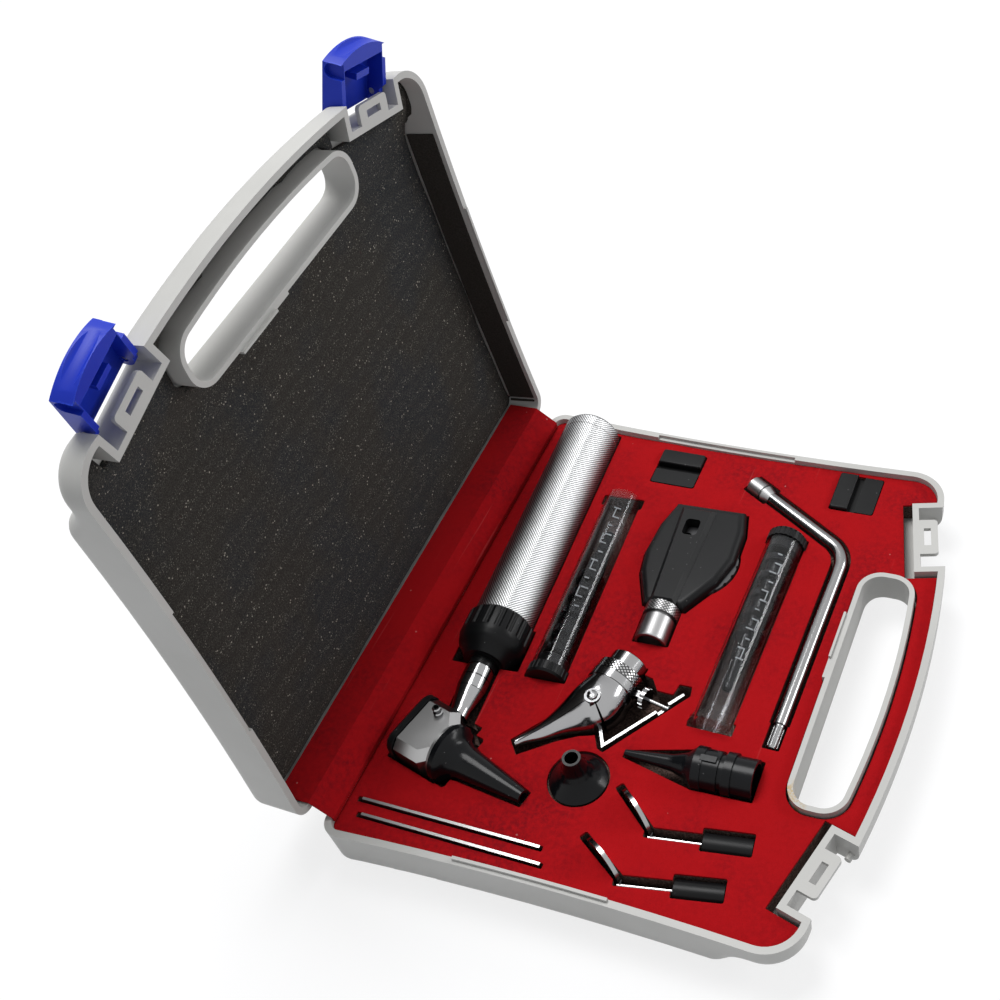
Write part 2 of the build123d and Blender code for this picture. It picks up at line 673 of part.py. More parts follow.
# ---------------------------------------------------------------- otoscope head
def otoscope_neck():
    """Locking sleeve and taper, cut off where they meet the side of the housing."""
    ring = NECK_END - RIM_GAP / 2
    with BuildPart() as neck:
        turn_outline(handle_frame, [(ring, 0), (ring, STEM_RADIUS - 0.9), (ring - 1.4, STEM_RADIUS - 0.9),
                                    (ring - 1.4, STEM_RADIUS), (ring - 11.5, STEM_RADIUS),
                                    (ring - 23.5, STEM_TIP_RADIUS), (ring - 34, STEM_TIP_RADIUS),
                                    (ring - 34, 0)])
        side = placed(head_frame, 0, HEAD_RIGHT, 0, (-90, 0, 0))
        split(bisect_by=side, keep=Keep.TOP)
    return neck


def otoscope_housing():
    """Metal head: bevelled box round the optical bore, ending in a round nose ring."""
    with BuildPart() as housing:
        nose = 4.0
        prism(placed(head_frame, 0, 0, -HEAD_BOTTOM),
              [(HEAD_START, -HEAD_LEFT), (HEAD_END - nose, -HEAD_LEFT),
               (HEAD_END, -HEAD_LEFT + nose), (HEAD_END, HEAD_RIGHT - nose - 1),
               (HEAD_END - nose, HEAD_RIGHT), (HEAD_START, HEAD_RIGHT)], HEAD_TOP + HEAD_BOTTOM)
        rims = housing.faces().filter_by(Axis.Z)
        long_edges = [edge for face in rims for edge in face.edges()
                      if abs((edge % 0.5).dot(head_frame.x_dir)) > 0.5]
        chamfer(long_edges, HEAD_BEVEL)
        turn_outline(head_frame, [(HEAD_END, 0), (HEAD_END, HEAD_RING_RADIUS),
                                  (HEAD_END + HEAD_RING, HEAD_RING_RADIUS), (HEAD_END + HEAD_RING, 0)])
        turn_outline(head_frame, [(0, 0), (0, HEAD_BORE), (HEAD_END + 2 * HEAD_RING, HEAD_BORE),
                                  (HEAD_END + 2 * HEAD_RING, 0)], Mode.SUBTRACT)
        stud = placed(head_frame, 0, WINDOW_PIVOT_T, WINDOW_PIVOT_Z)
        turn_outline(stud, [(-0.2, 0), (-0.2, WINDOW_STUD), (HEAD_START + 1, WINDOW_STUD),
                            (HEAD_START + 1, 0)])
    return housing


def insufflation_port():
    """Hose nipple on the flat top of the head."""
    base = placed(head_frame, 13.0, 10.0, HEAD_TOP, (0, -90, 0))
    with BuildPart() as port:
        turn_outline(base, [(0, 1.0), (0, 2.2), (1.2, 2.2), (1.6, 1.7), (3.6, 1.7), (4.2, 2.0),
                            (4.8, 1.6), (4.8, 1.0)])
    return port


def otoscope_lamp():
    """Small bulb on the floor of the optical bore."""
    base = placed(head_frame, 14.0, 0, -HEAD_BORE + 0.2, (0, -90, 0))
    with BuildPart() as lamp:
        turn_outline(base, [(0, 0), (0, 1.5), (2.4, 1.5), (3.4, 1.1), (3.9, 0.5), (3.9, 0)])
    return lamp


def window_frame():
    """Swivelling viewing window behind the head, on the pivot stud of the housing."""
    with BuildPart() as frame:
        back = placed(head_frame, 0, 0, 0, (90, 90, 0))
        with BuildSketch(back) as outline:
            with Locations(((HEAD_RIGHT - HEAD_LEFT) / 2, (HEAD_TOP - HEAD_BOTTOM) / 2)):
                RectangleRounded(HEAD_LEFT + HEAD_RIGHT + 1.6, HEAD_TOP + HEAD_BOTTOM + 0.8, 6.0)
            Circle(LENS_RADIUS - 1.0, mode=Mode.SUBTRACT)
        extrude(outline.sketch, amount=WINDOW_THICKNESS)
        chamfer(frame.faces().sort_by(Axis(head_frame.origin, head_frame.x_dir))[0].outer_wire().edges(),
                1.6)
        with BuildSketch(placed(back, 0, 0, WINDOW_THICKNESS)) as seat:
            Circle(LENS_RADIUS)
        extrude(seat.sketch, amount=-2.4, mode=Mode.SUBTRACT)
        stud = placed(head_frame, 0, WINDOW_PIVOT_T, WINDOW_PIVOT_Z)
        turn_outline(stud, [(-1, 0), (-1, WINDOW_STUD + RUNNING_FIT),
                            (HEAD_START, WINDOW_STUD + RUNNING_FIT), (HEAD_START, 0)], Mode.SUBTRACT)
    return frame


def window_lens():
    """Magnifying lens seated in the swivelling window."""
    front = WINDOW_THICKNESS
    rim = LENS_RADIUS - RUNNING_FIT
    with BuildPart() as lens:
        turn_outline(head_frame, [(front - 0.8, 0), (front - 0.8, rim), (front - 2.4, rim),
                                  (front - 2.4, rim - 1.2), (front - 3.0, rim * 0.4), (front - 3.2, 0)])
    return lens


def ear_speculum():
    """Funnel on the nose ring: flared skirt, waist and long slim tip, hollow throughout."""
    start = HEAD_END + HEAD_RING + RIM_GAP
    wall = SPECULUM_WALL
    with BuildPart() as funnel:
        turn_outline(head_frame, [(start, SKIRT_RADIUS - wall), (start, SKIRT_RADIUS),
                                  (start + 2.6, SKIRT_RADIUS), (start + 4.2, SKIRT_RADIUS - 1.2),
                                  (start + 7.0, 9.4), (start + 10.5, 7.8),
                                  (start + FUNNEL_LENGTH, FUNNEL_TIP),
                                  (start + FUNNEL_LENGTH, FUNNEL_TIP - wall),
                                  (start + 10.5, 7.8 - wall), (start + 3.4, SKIRT_RADIUS - 1.2 - wall)])
    return funnel


# ---------------------------------------------------------------- tubes of spare specula
def tube_frame(place, turn):
    """X runs from the mouth to the closed end."""
    return placed(placed(case_frame, *place, (0, 0, turn)), -TUBE_LENGTH / 4)


def specula_tube(frame, foot):
    """Clear tube, open at the cap end, its closed end widened by a foot."""
    bore = TUBE_RADIUS - TUBE_WALL
    with BuildPart() as tube:
        turn_outline(frame, [(0, bore), (0, TUBE_RADIUS), (TUBE_LENGTH - TUBE_FOOT_LENGTH, TUBE_RADIUS),
                             (TUBE_LENGTH, TUBE_RADIUS + foot), (TUBE_LENGTH, 0),
                             (TUBE_LENGTH - TUBE_WALL, 0), (TUBE_LENGTH - TUBE_WALL, bore)])
    return tube


def tube_cap(frame):
    """Ribbed stopper with a plug that turns in the tube's mouth."""
    plug = TUBE_RADIUS - TUBE_WALL - RUNNING_FIT
    gap = COLLAR_GAP / 2
    with BuildPart() as cap:
        turn_outline(frame, [(-gap, 0), (TUBE_PLUG, 0), (TUBE_PLUG, plug - 0.6), (TUBE_PLUG - 0.6, plug),
                             (-gap, plug), (-gap, TUBE_CAP_RADIUS),
                             (-TUBE_CAP_LENGTH + 1, TUBE_CAP_RADIUS),
                             (-TUBE_CAP_LENGTH, TUBE_CAP_RADIUS - 1), (-TUBE_CAP_LENGTH, 0)])
        with BuildSketch(placed(frame, -TUBE_CAP_LENGTH + 1, 0, 0, (0, 90, 0))) as cuts:
            with PolarLocations(TUBE_CAP_RADIUS + 0.15, TUBE_RIBS):
                Circle(0.6)
        extrude(cuts.sketch, amount=TUBE_CAP_LENGTH - 1 - gap, mode=Mode.SUBTRACT)
    return cap


def specula_stack(frame, first):
    """Spare specula nested one in the next, lying on the tube's wall."""
    drop = TUBE_RADIUS - TUBE_WALL - STACK_RADIUS - SOFT_GAP
    with BuildPart() as stack:
        for number in range(STACK_COUNT):
            start = first + number * STACK_PITCH
            turn_outline(placed(frame, start, 0, -drop),
                         [(0, STACK_RADIUS - STACK_WALL), (0, STACK_RADIUS), (3.5, STACK_RADIUS),
                          (3.5, STACK_RADIUS - 1.6), (STACK_LENGTH, STACK_TIP),
                          (STACK_LENGTH, STACK_TIP - STACK_WALL),
                          (2.6, STACK_RADIUS - 1.6 - STACK_WALL)])
    return stack


# ---------------------------------------------------------------- ophthalmoscope
scope_frame = placed(case_frame, SCOPE_X, SCOPE_Y, SCOPE_Z, (0, 0, SCOPE_TURN))
wheel_frame = placed(scope_frame, WHEEL_ALONG, WHEEL_ASIDE)


def scope_plan(margin=0.0):
    """Plan of the viewing head, right side fuller where the lens wheel shows."""
    return [(SCOPE_BODY_START, 10.0 + margin), (38.0, 17.8 + margin), (50.0, 19.4 + margin),
            (68.0, 17.6 + margin), (SCOPE_BODY_END + margin, 13.0 + margin),
            (SCOPE_BODY_END + margin, -22.5 - margin), (70.0, -25.6 - margin),
            (52.0, -25.9 - margin), (38.0, -21.5 - margin), (SCOPE_BODY_START, -10.0 - margin)]


def ophthalmoscope_housing():
    """Viewing head with bevelled faces, crest rib, sight opening and lens wheel slot."""
    with BuildPart() as housing:
        prism(placed(scope_frame, 0, 0, -SCOPE_DROP), scope_plan(), SCOPE_DROP + SCOPE_RISE)
        top = housing.faces().filter_by(Axis.Z).sort_by(Axis.Z)[-1]
        fillet(top.edges(), SCOPE_ROUND)
        prism(placed(scope_frame, 0, 0, 0),
              [(SCOPE_BODY_START, 6.5), (SCOPE_BODY_END - SCOPE_ROUND, 9.0),
               (SCOPE_BODY_END - SCOPE_ROUND, -9.0), (SCOPE_BODY_START, -6.5)], SCOPE_RIB)
        crest = housing.faces().filter_by(Axis.Z).sort_by(Axis.Z)[-1]
        chamfer(crest.edges(), SCOPE_RIB - SCOPE_RISE - 0.2)
        slot = WHEEL_THICKNESS / 2 + WHEEL_GAP
        with BuildSketch(placed(wheel_frame, 0, 0, -slot)) as room:
            Circle(WHEEL_RADIUS + WHEEL_GAP)
            Circle(WHEEL_AXLE, mode=Mode.SUBTRACT)
        extrude(room.sketch, amount=2 * slot, mode=Mode.SUBTRACT)
        with BuildSketch(placed(scope_frame, SIGHT_ALONG, 0, SCOPE_RIB)) as sight:
            RectangleRounded(*SIGHT_SIZE, 2.0)
        extrude(sight.sketch, amount=-SCOPE_RIB, mode=Mode.SUBTRACT)
        with BuildSketch(placed(scope_frame, SIGHT_ALONG, 0, 0)) as light:
            Circle(WHEEL_LENS_RADIUS)
        extrude(light.sketch, amount=-SCOPE_DROP, mode=Mode.SUBTRACT)
    return housing


def ophthalmoscope_socket():
    """Knurled ring and locking sleeve below the viewing head."""
    with BuildPart() as socket:
        turn_outline(scope_frame, [(0, SOCKET_BORE), (0, SOCKET_RADIUS - 0.4), (0.4, SOCKET_RADIUS),
                                   (12.8, SOCKET_RADIUS), (12.8, SOCKET_RADIUS - 1.0),
                                   (14.4, SOCKET_RADIUS - 1.0), (14.4, SOCKET_RING),
                                   (SCOPE_BODY_START, SOCKET_RING), (SCOPE_BODY_START, 0),
                                   (11.0, 0), (11.0, SOCKET_BORE)])
    return socket


def lens_wheel():
    """Disc of sight lenses with a notched finger edge."""
    with BuildPart() as wheel:
        with BuildSketch(placed(wheel_frame, 0, 0, -WHEEL_THICKNESS / 2)) as disc:
            Circle(WHEEL_RADIUS)
            with PolarLocations(WHEEL_RADIUS + 0.7, 2 * WHEEL_LENSES):
                Circle(1.3, mode=Mode.SUBTRACT)
            with PolarLocations(WHEEL_LENS_CIRCLE, WHEEL_LENSES):
                Circle(WHEEL_LENS_RADIUS, mode=Mode.SUBTRACT)
            Circle(WHEEL_AXLE + RUNNING_FIT, mode=Mode.SUBTRACT)
        extrude(disc.sketch, amount=WHEEL_THICKNESS)
    return wheel


# ---------------------------------------------------------------- bent arm light
arm_turn = degrees(atan2(ARM_KNEE[1] - ARM_START[1], ARM_KNEE[0] - ARM_START[0]))
arm_frame = placed(case_frame, *ARM_START, ARM_Z, (0, 0, arm_turn))
arm_tip_turn = degrees(atan2(ARM_END[1] - ARM_KNEE[1], ARM_END[0] - ARM_KNEE[0]))
arm_tip_frame = placed(case_frame, *ARM_END, ARM_Z, (0, 0, arm_tip_turn))


def arm_socket():
    """Sleeve that fits the battery handle, narrowing to the rod."""
    with BuildPart() as socket:
        turn_outline(arm_frame, [(0, 3.3), (0, ARM_SOCKET_RADIUS - 0.5), (0.5, ARM_SOCKET_RADIUS),
                                 (8.5, ARM_SOCKET_RADIUS), (8.5, ARM_SOCKET_RADIUS - 0.6),
                                 (9.6, ARM_SOCKET_RADIUS - 0.6), (9.6, ARM_SOCKET_RADIUS),
                                 (ARM_SOCKET_LENGTH, ARM_RADIUS), (ARM_SOCKET_LENGTH, 0),
                                 (7.0, 0), (7.0, 3.3)])
    return socket


def arm_rod():
    """Round rod with one wide bend."""
    start = placed(arm_frame, ARM_SOCKET_LENGTH)
    knee = placed(case_frame, *ARM_KNEE, ARM_Z).origin
    with BuildPart() as rod:
        with BuildLine() as path:
            FilletPolyline(start.origin, knee, arm_tip_frame.origin, radius=ARM_BEND)
        with BuildSketch(placed(start, turn=(0, 90, 0))) as section:
            Circle(ARM_RADIUS)
        sweep(section.sketch, path=path.line)
    return rod


def arm_tip():
    """Ribbed lamp end of the rod."""
    with BuildPart() as tip:
        turn_outline(arm_tip_frame, [(0, 0), (0, ARM_RADIUS - 0.7), (ARM_TIP_LENGTH - 0.8, ARM_RADIUS - 0.7),
                                     (ARM_TIP_LENGTH, ARM_RADIUS - 1.4), (ARM_TIP_LENGTH, 0)])
        with BuildSketch(placed(arm_tip_frame, 1.2, 0, 0, (0, 90, 0))) as cuts:
            with PolarLocations(ARM_RADIUS - 0.6, 10):
                Circle(0.35)
        extrude(cuts.sketch, amount=ARM_TIP_LENGTH, mode=Mode.SUBTRACT)
    return tip


# ---------------------------------------------------------------- nasal speculum
nasal_frame = placed(case_frame, NASAL_X, NASAL_Y, NASAL_Z, (0, 0, NASAL_TURN))
beak_frame = placed(nasal_frame, *NASAL_PIVOT, 0, (0, 0, BEAK_TURN))
thumb_frame = placed(nasal_frame, THUMB_ALONG, NASAL_RING, 0, (0, 0, 90))


def nasal_horn():
    """Full bell that bends from the ring and tapers to the beak's tip."""
    sections = [(placed(nasal_frame, 17.0), NASAL_RING - 0.6),
                (placed(nasal_frame, 25.0, -0.5, 0, (0, 0, BEAK_TURN / 3)), NASAL_HORN + 0.6),
                (placed(beak_frame, 5.0, -2.3, 0, (0, 0, -BEAK_TURN / 4)), NASAL_HORN - 0.6),
                (placed(beak_frame, 12.0, -2.2), NASAL_HORN - 3.4),
                (placed(beak_frame, 20.0, -1.3), 5.6),
                (placed(beak_frame, 29.5, -0.6), 3.4),
                (placed(beak_frame, BEAK_LENGTH, -0.2), BEAK_TIP)]
    with BuildPart() as horn:
        for plane, radius in sections:
            with BuildSketch(placed(plane, turn=(0, 90, 0))):
                Circle(radius)
        loft()
    return horn.part


def beak_region(gap, relief, mode):
    """Plan of the moving half: beside the beak line and ahead of the pivot, boss left out."""
    far = 2 * BEAK_LENGTH
    with BuildSketch(placed(beak_frame, 0, 0, -2 * NASAL_RING)) as region:
        with BuildLine():
            Polyline((gap, gap), (gap - far * tan(radians(relief)), far), (far, far), (far, gap), close=True)
        make_face()
        Circle(PIVOT_BOSS + BEAK_GAP / 2 + gap, mode=Mode.SUBTRACT)
    extrude(region.sketch, amount=4 * NASAL_RING, mode=mode)


def nasal_body():
    """Socket, knurled ring, band, fixed half of the beak and the boss for the thumb screw."""
    with BuildPart() as body:
        add(nasal_horn())
        beak_region(-BEAK_GAP / 2, BEAK_RELIEF, Mode.SUBTRACT)
        turn_outline(nasal_frame, [(0, NASAL_SOCKET - 1.4), (0, NASAL_SOCKET - 0.4),
                                   (0.4, NASAL_SOCKET), (7.5, NASAL_SOCKET), (7.5, NASAL_RING - 0.3),
                                   (12.6, NASAL_RING - 0.3), (12.6, NASAL_RING),
                                   (17.0, NASAL_RING), (17.6, NASAL_RING - 0.6), (17.6, 0),
                                   (9.0, 0), (9.0, NASAL_SOCKET - 1.4)])
        block(placed(nasal_frame, THUMB_ALONG, 0, -THUMB_BOSS / 2),
              (-THUMB_BOSS / 2, THUMB_BOSS / 2), (NASAL_RING - 2, NASAL_RING + THUMB_BOSS), THUMB_BOSS)
        turn_outline(placed(thumb_frame, 0.5), [(0, 0), (0, THUMB_ROD + RUNNING_FIT),
                                                (THUMB_BOSS, THUMB_ROD + RUNNING_FIT),
                                                (THUMB_BOSS, 0)], Mode.SUBTRACT)
        with BuildSketch(beak_frame) as thread:
            Circle(SCREW_RADIUS)
        extrude(thread.sketch, amount=2 * NASAL_HORN, mode=Mode.SUBTRACT)
        with BuildSketch(placed(beak_frame, 0, 0, NASAL_HORN)) as flat:
            Circle(EAR_RADIUS + BEAK_GAP)
        extrude(flat.sketch, amount=NASAL_RING, mode=Mode.SUBTRACT)
    return body


def nasal_blade():
    """Moving half of the beak with its pivot ear and the upright lever."""
    ear = NASAL_HORN + BEAK_GAP
    with BuildPart() as blade:
        add(nasal_horn())
        beak_region(BEAK_GAP / 2, 0.0, Mode.INTERSECT)
        with BuildSketch(placed(beak_frame, 0, 0, ear)) as disc:
            Circle(EAR_RADIUS)
        extrude(disc.sketch, amount=EAR_THICKNESS)
        web = EAR_RADIUS * 0.7
        block(placed(beak_frame, 0, 0, NASAL_HORN - 3), (0.5, web), (PIVOT_BOSS + 0.6, web + 0.6), 3.6)
        with BuildSketch(placed(beak_frame, 0, 0, ear)) as bore:
            Circle(SCREW_RADIUS + RUNNING_FIT)
        extrude(bore.sketch, amount=EAR_THICKNESS, mode=Mode.SUBTRACT)
        with BuildSketch(placed(case_frame, 0, 0, LEVER_TOP)) as lever:
            with BuildLine():
                Polyline(LEVER_FOOT, LEVER_HEEL, LEVER_END)
            trace(line_width=LEVER_THICKNESS)
        extrude(lever.sketch, amount=-LEVER_HEIGHT)
        lever_turn = degrees(atan2(LEVER_END[1] - LEVER_HEEL[1], LEVER_END[0] - LEVER_HEEL[0]))
        slot_height = 2 * THUMB_ROD + 2 * BEAK_GAP
        slot = placed(case_frame, *LEVER_HEEL, NASAL_Z - slot_height / 2, (0, 0, lever_turn))
        block(slot, LEVER_SLOT, (-LEVER_THICKNESS, LEVER_THICKNESS), slot_height, Mode.SUBTRACT)
    return blade


def nasal_pivot_screw():
    """Slotted screw that holds the moving half."""
    ear = NASAL_HORN + BEAK_GAP + EAR_THICKNESS + RIM_GAP / 3
    base = placed(beak_frame, 0, 0, 0, (0, -90, 0))
    with BuildPart() as screw:
        turn_outline(base, [(0.2, 0), (0.2, SCREW_RADIUS), (ear, SCREW_RADIUS), (ear, 2.5),
                            (ear + 0.7, 2.3), (ear + 1.1, 1.2), (ear + 1.1, 0)])
        block(placed(beak_frame, 0, 0, ear + 0.6), (-0.4, 0.4), (-3, 3), 1, Mode.SUBTRACT)
    return screw


def thumb_screw():
    """Spreading screw from the ring's boss through the lever."""
    knob = THUMB_BOSS + 0.3
    with BuildPart() as screw:
        turn_outline(thumb_frame, [(0.6, 0), (0.6, THUMB_ROD), (knob, THUMB_ROD), (knob, THUMB_KNOB),
                                   (knob + THUMB_KNOB_WIDTH, THUMB_KNOB),
                                   (knob + THUMB_KNOB_WIDTH, THUMB_ROD),
                                   (THUMB_REACH, THUMB_ROD), (THUMB_REACH, 0)])
        with BuildSketch(placed(thumb_frame, knob, 0, 0, (0, 90, 0))) as cuts:
            with PolarLocations(THUMB_KNOB + 0.3, 12):
                Circle(0.8)
        extrude(cuts.sketch, amount=THUMB_KNOB_WIDTH, mode=Mode.SUBTRACT)
    return screw


# ---------------------------------------------------------------- loose specula
adapter_frame = placed(case_frame, ADAPTER_X, ADAPTER_Y, ADAPTER_Z, (0, 0, ADAPTER_TURN))
adapter_length = ADAPTER_CONE + 2 * ADAPTER_RIDGE + ADAPTER_WAIST + ADAPTER_GROOVE + ADAPTER_MOUTH


def large_speculum():
    """Wide funnel standing on its flange."""
    base = placed(case_frame, LARGE_X, LARGE_Y, LARGE_Z, (0, -90, 0))
    wall = LARGE_WALL
    with BuildPart() as funnel:
        turn_outline(base, [(0, LARGE_RADIUS - wall), (0, LARGE_RADIUS), (1.6, LARGE_RADIUS),
                            (2.4, LARGE_RADIUS - 0.8), (4.4, LARGE_RADIUS - 2.9),
                            (7.4, LARGE_RADIUS - 5.4), (10.8, LARGE_RADIUS - 7.3),
                            (14.4, LARGE_TIP + 0.6), (LARGE_HEIGHT, LARGE_TIP),
                            (LARGE_HEIGHT, LARGE_TIP - wall), (14.0, LARGE_TIP + 0.5 - wall),
                            (10.0, LARGE_RADIUS - 7.5 - wall), (6.4, LARGE_RADIUS - 5.4 - wall),
                            (3.2, LARGE_RADIUS - 2.9 - wall), (1.2, LARGE_RADIUS - wall)])
    return funnel


def adapter_speculum():
    """Long slim funnel on a ringed sleeve with a small key on its waist."""
    ridge = ADAPTER_RADIUS
    waist = ridge - 0.6
    groove = ridge - 1.5
    mouth = ridge - 0.9
    waist_start = ADAPTER_CONE + ADAPTER_RIDGE
    groove_start = waist_start + ADAPTER_WAIST
    ridge_start = groove_start + ADAPTER_GROOVE
    mouth_start = ridge_start + ADAPTER_RIDGE
    wall = SPECULUM_WALL
    outer = [(0, ADAPTER_TIP), (22.0, 3.7), (28.5, 5.8), (ADAPTER_CONE, ridge), (waist_start, ridge),
             (waist_start, waist), (groove_start, waist), (groove_start, groove), (ridge_start, groove),
             (ridge_start, ridge), (mouth_start, ridge), (mouth_start, mouth), (adapter_length, mouth)]
    inner = [(adapter_length, groove - wall), (ADAPTER_CONE, groove - wall - 0.6),
             (28.5, 5.8 - 1.6 * wall), (0, ADAPTER_TIP - wall / 2)]
    with BuildPart() as speculum:
        turn_outline(adapter_frame, outer + inner)
        block(placed(adapter_frame, waist_start - 1, 0, groove), (0, ADAPTER_WAIST), (-1.4, 1.4), 1.8)
    return speculum


# ---------------------------------------------------------------- mirrors
def mirror_frames(place, face, stem):
    """Frames at the heel, where disc and stem meet: disc plane (X across, Y up), stem axis."""
    heel = placed(case_frame, *place, MIRROR_Z)
    return placed(placed(heel, turn=(0, 0, face)), turn=(90, 0, 0)), placed(heel, turn=(0, 0, stem))


def mirror_head(disc, stem):
    """Metal tray of the mirror with its stem."""
    with BuildPart() as tray:
        with BuildSketch(disc) as outline:
            with Locations((MIRROR_RADIUS, 0)):
                Circle(MIRROR_RADIUS)
        extrude(outline.sketch, amount=MIRROR_FRAME)
        with BuildSketch(placed(disc, 0, 0, MIRROR_FRAME)) as seat:
            with Locations((MIRROR_RADIUS, 0)):
                Circle(MIRROR_RADIUS - MIRROR_RIM)
        extrude(seat.sketch, amount=-MIRROR_GLASS, mode=Mode.SUBTRACT)
        turn_outline(stem, [(-MIRROR_RIM, 0), (-MIRROR_RIM, MIRROR_STEM), (MIRROR_STEM_LENGTH, MIRROR_STEM),
                            (MIRROR_STEM_LENGTH, 0)])
    return tray


def mirror_glass(disc):
    """Silvered glass in the tray."""
    with BuildPart() as glass:
        with BuildSketch(placed(disc, 0, 0, MIRROR_FRAME)) as outline:
            with Locations((MIRROR_RADIUS, 0)):
                Circle(MIRROR_RADIUS - MIRROR_RIM)
        extrude(outline.sketch, amount=-MIRROR_GLASS)
    return glass


def mirror_sleeve(stem):
    """Plastic sleeve that screws onto the light."""
    start = MIRROR_STEM_LENGTH
    with BuildPart() as sleeve:
        turn_outline(stem, [(start, 0), (start, SLEEVE_RADIUS - 0.4), (start + 0.4, SLEEVE_RADIUS),
                            (start + SLEEVE_LENGTH, SLEEVE_RADIUS),
                            (start + SLEEVE_LENGTH, SLEEVE_RADIUS - 1.3),
                            (start + 4.0, SLEEVE_RADIUS - 1.3), (start + 4.0, 0)])
    return sleeve


# ---------------------------------------------------------------- blades and blocks
def slim_blade(place, turn, pointed):
    """Thin blade standing on its long edge."""
    edge = placed(placed(case_frame, *place, BLADE_TOP, (0, 0, turn)), turn=(90, 0, 0))
    nose = 16.0 if pointed else 5.0
    with BuildPart() as blade:
        prism(placed(edge, 0, 0, -BLADE_THICKNESS / 2),
              [(2, 0), (BLADE_LENGTH, 0), (BLADE_LENGTH - nose, -BLADE_HEIGHT), (5, -BLADE_HEIGHT),
               (0, -BLADE_HEIGHT / 2)], BLADE_THICKNESS)
    return blade


def slotted_block(place, turn):
    """Moulded holder: a raised tab and a lower one with a groove between them."""
    frame = placed(case_frame, *place, BLOCK_TOP - BLOCK_SIZE[2], (0, 0, turn))
    half_x, half_y = BLOCK_SIZE[0] / 2, BLOCK_SIZE[1] / 2
    with BuildPart() as holder:
        block(frame, (-half_x, half_x), (-half_y, half_y), BLOCK_SIZE[2], radius=1.2)
        top = placed(frame, 0, 0, BLOCK_SIZE[2])
        block(top, (-half_x - 1, half_x + 1), (-BLOCK_GROOVE / 2, BLOCK_GROOVE / 2),
              -BLOCK_GROOVE_DEPTH, Mode.SUBTRACT)
        block(top, (-half_x - 1, half_x + 1), (-half_y - 1, 0), -BLOCK_STEP, Mode.SUBTRACT)
        edges = holder.edges().group_by(Axis.Z)[-1].filter_by(Axis((0, 0, 0), frame.x_dir))
        fillet(edges, BLOCK_ROUND)
    return holder


# ---------------------------------------------------------------- soft lining
def pocket(frame, x_range, y_range, floor, radius=0.8):
    """Rectangular pocket from its floor, given from the parting plane, to above the lining."""
    level = placed(frame, 0, 0, floor - (frame.origin.Z - case_frame.origin.Z))
    block(level, x_range, y_range, HALF_DEPTH, radius=radius)


def pocket_outline(points, floor, radius=1.5):
    """Pocket with a polygon plan in the case frame."""
    prism(placed(case_frame, 0, 0, floor), points, HALF_DEPTH, radius=radius)


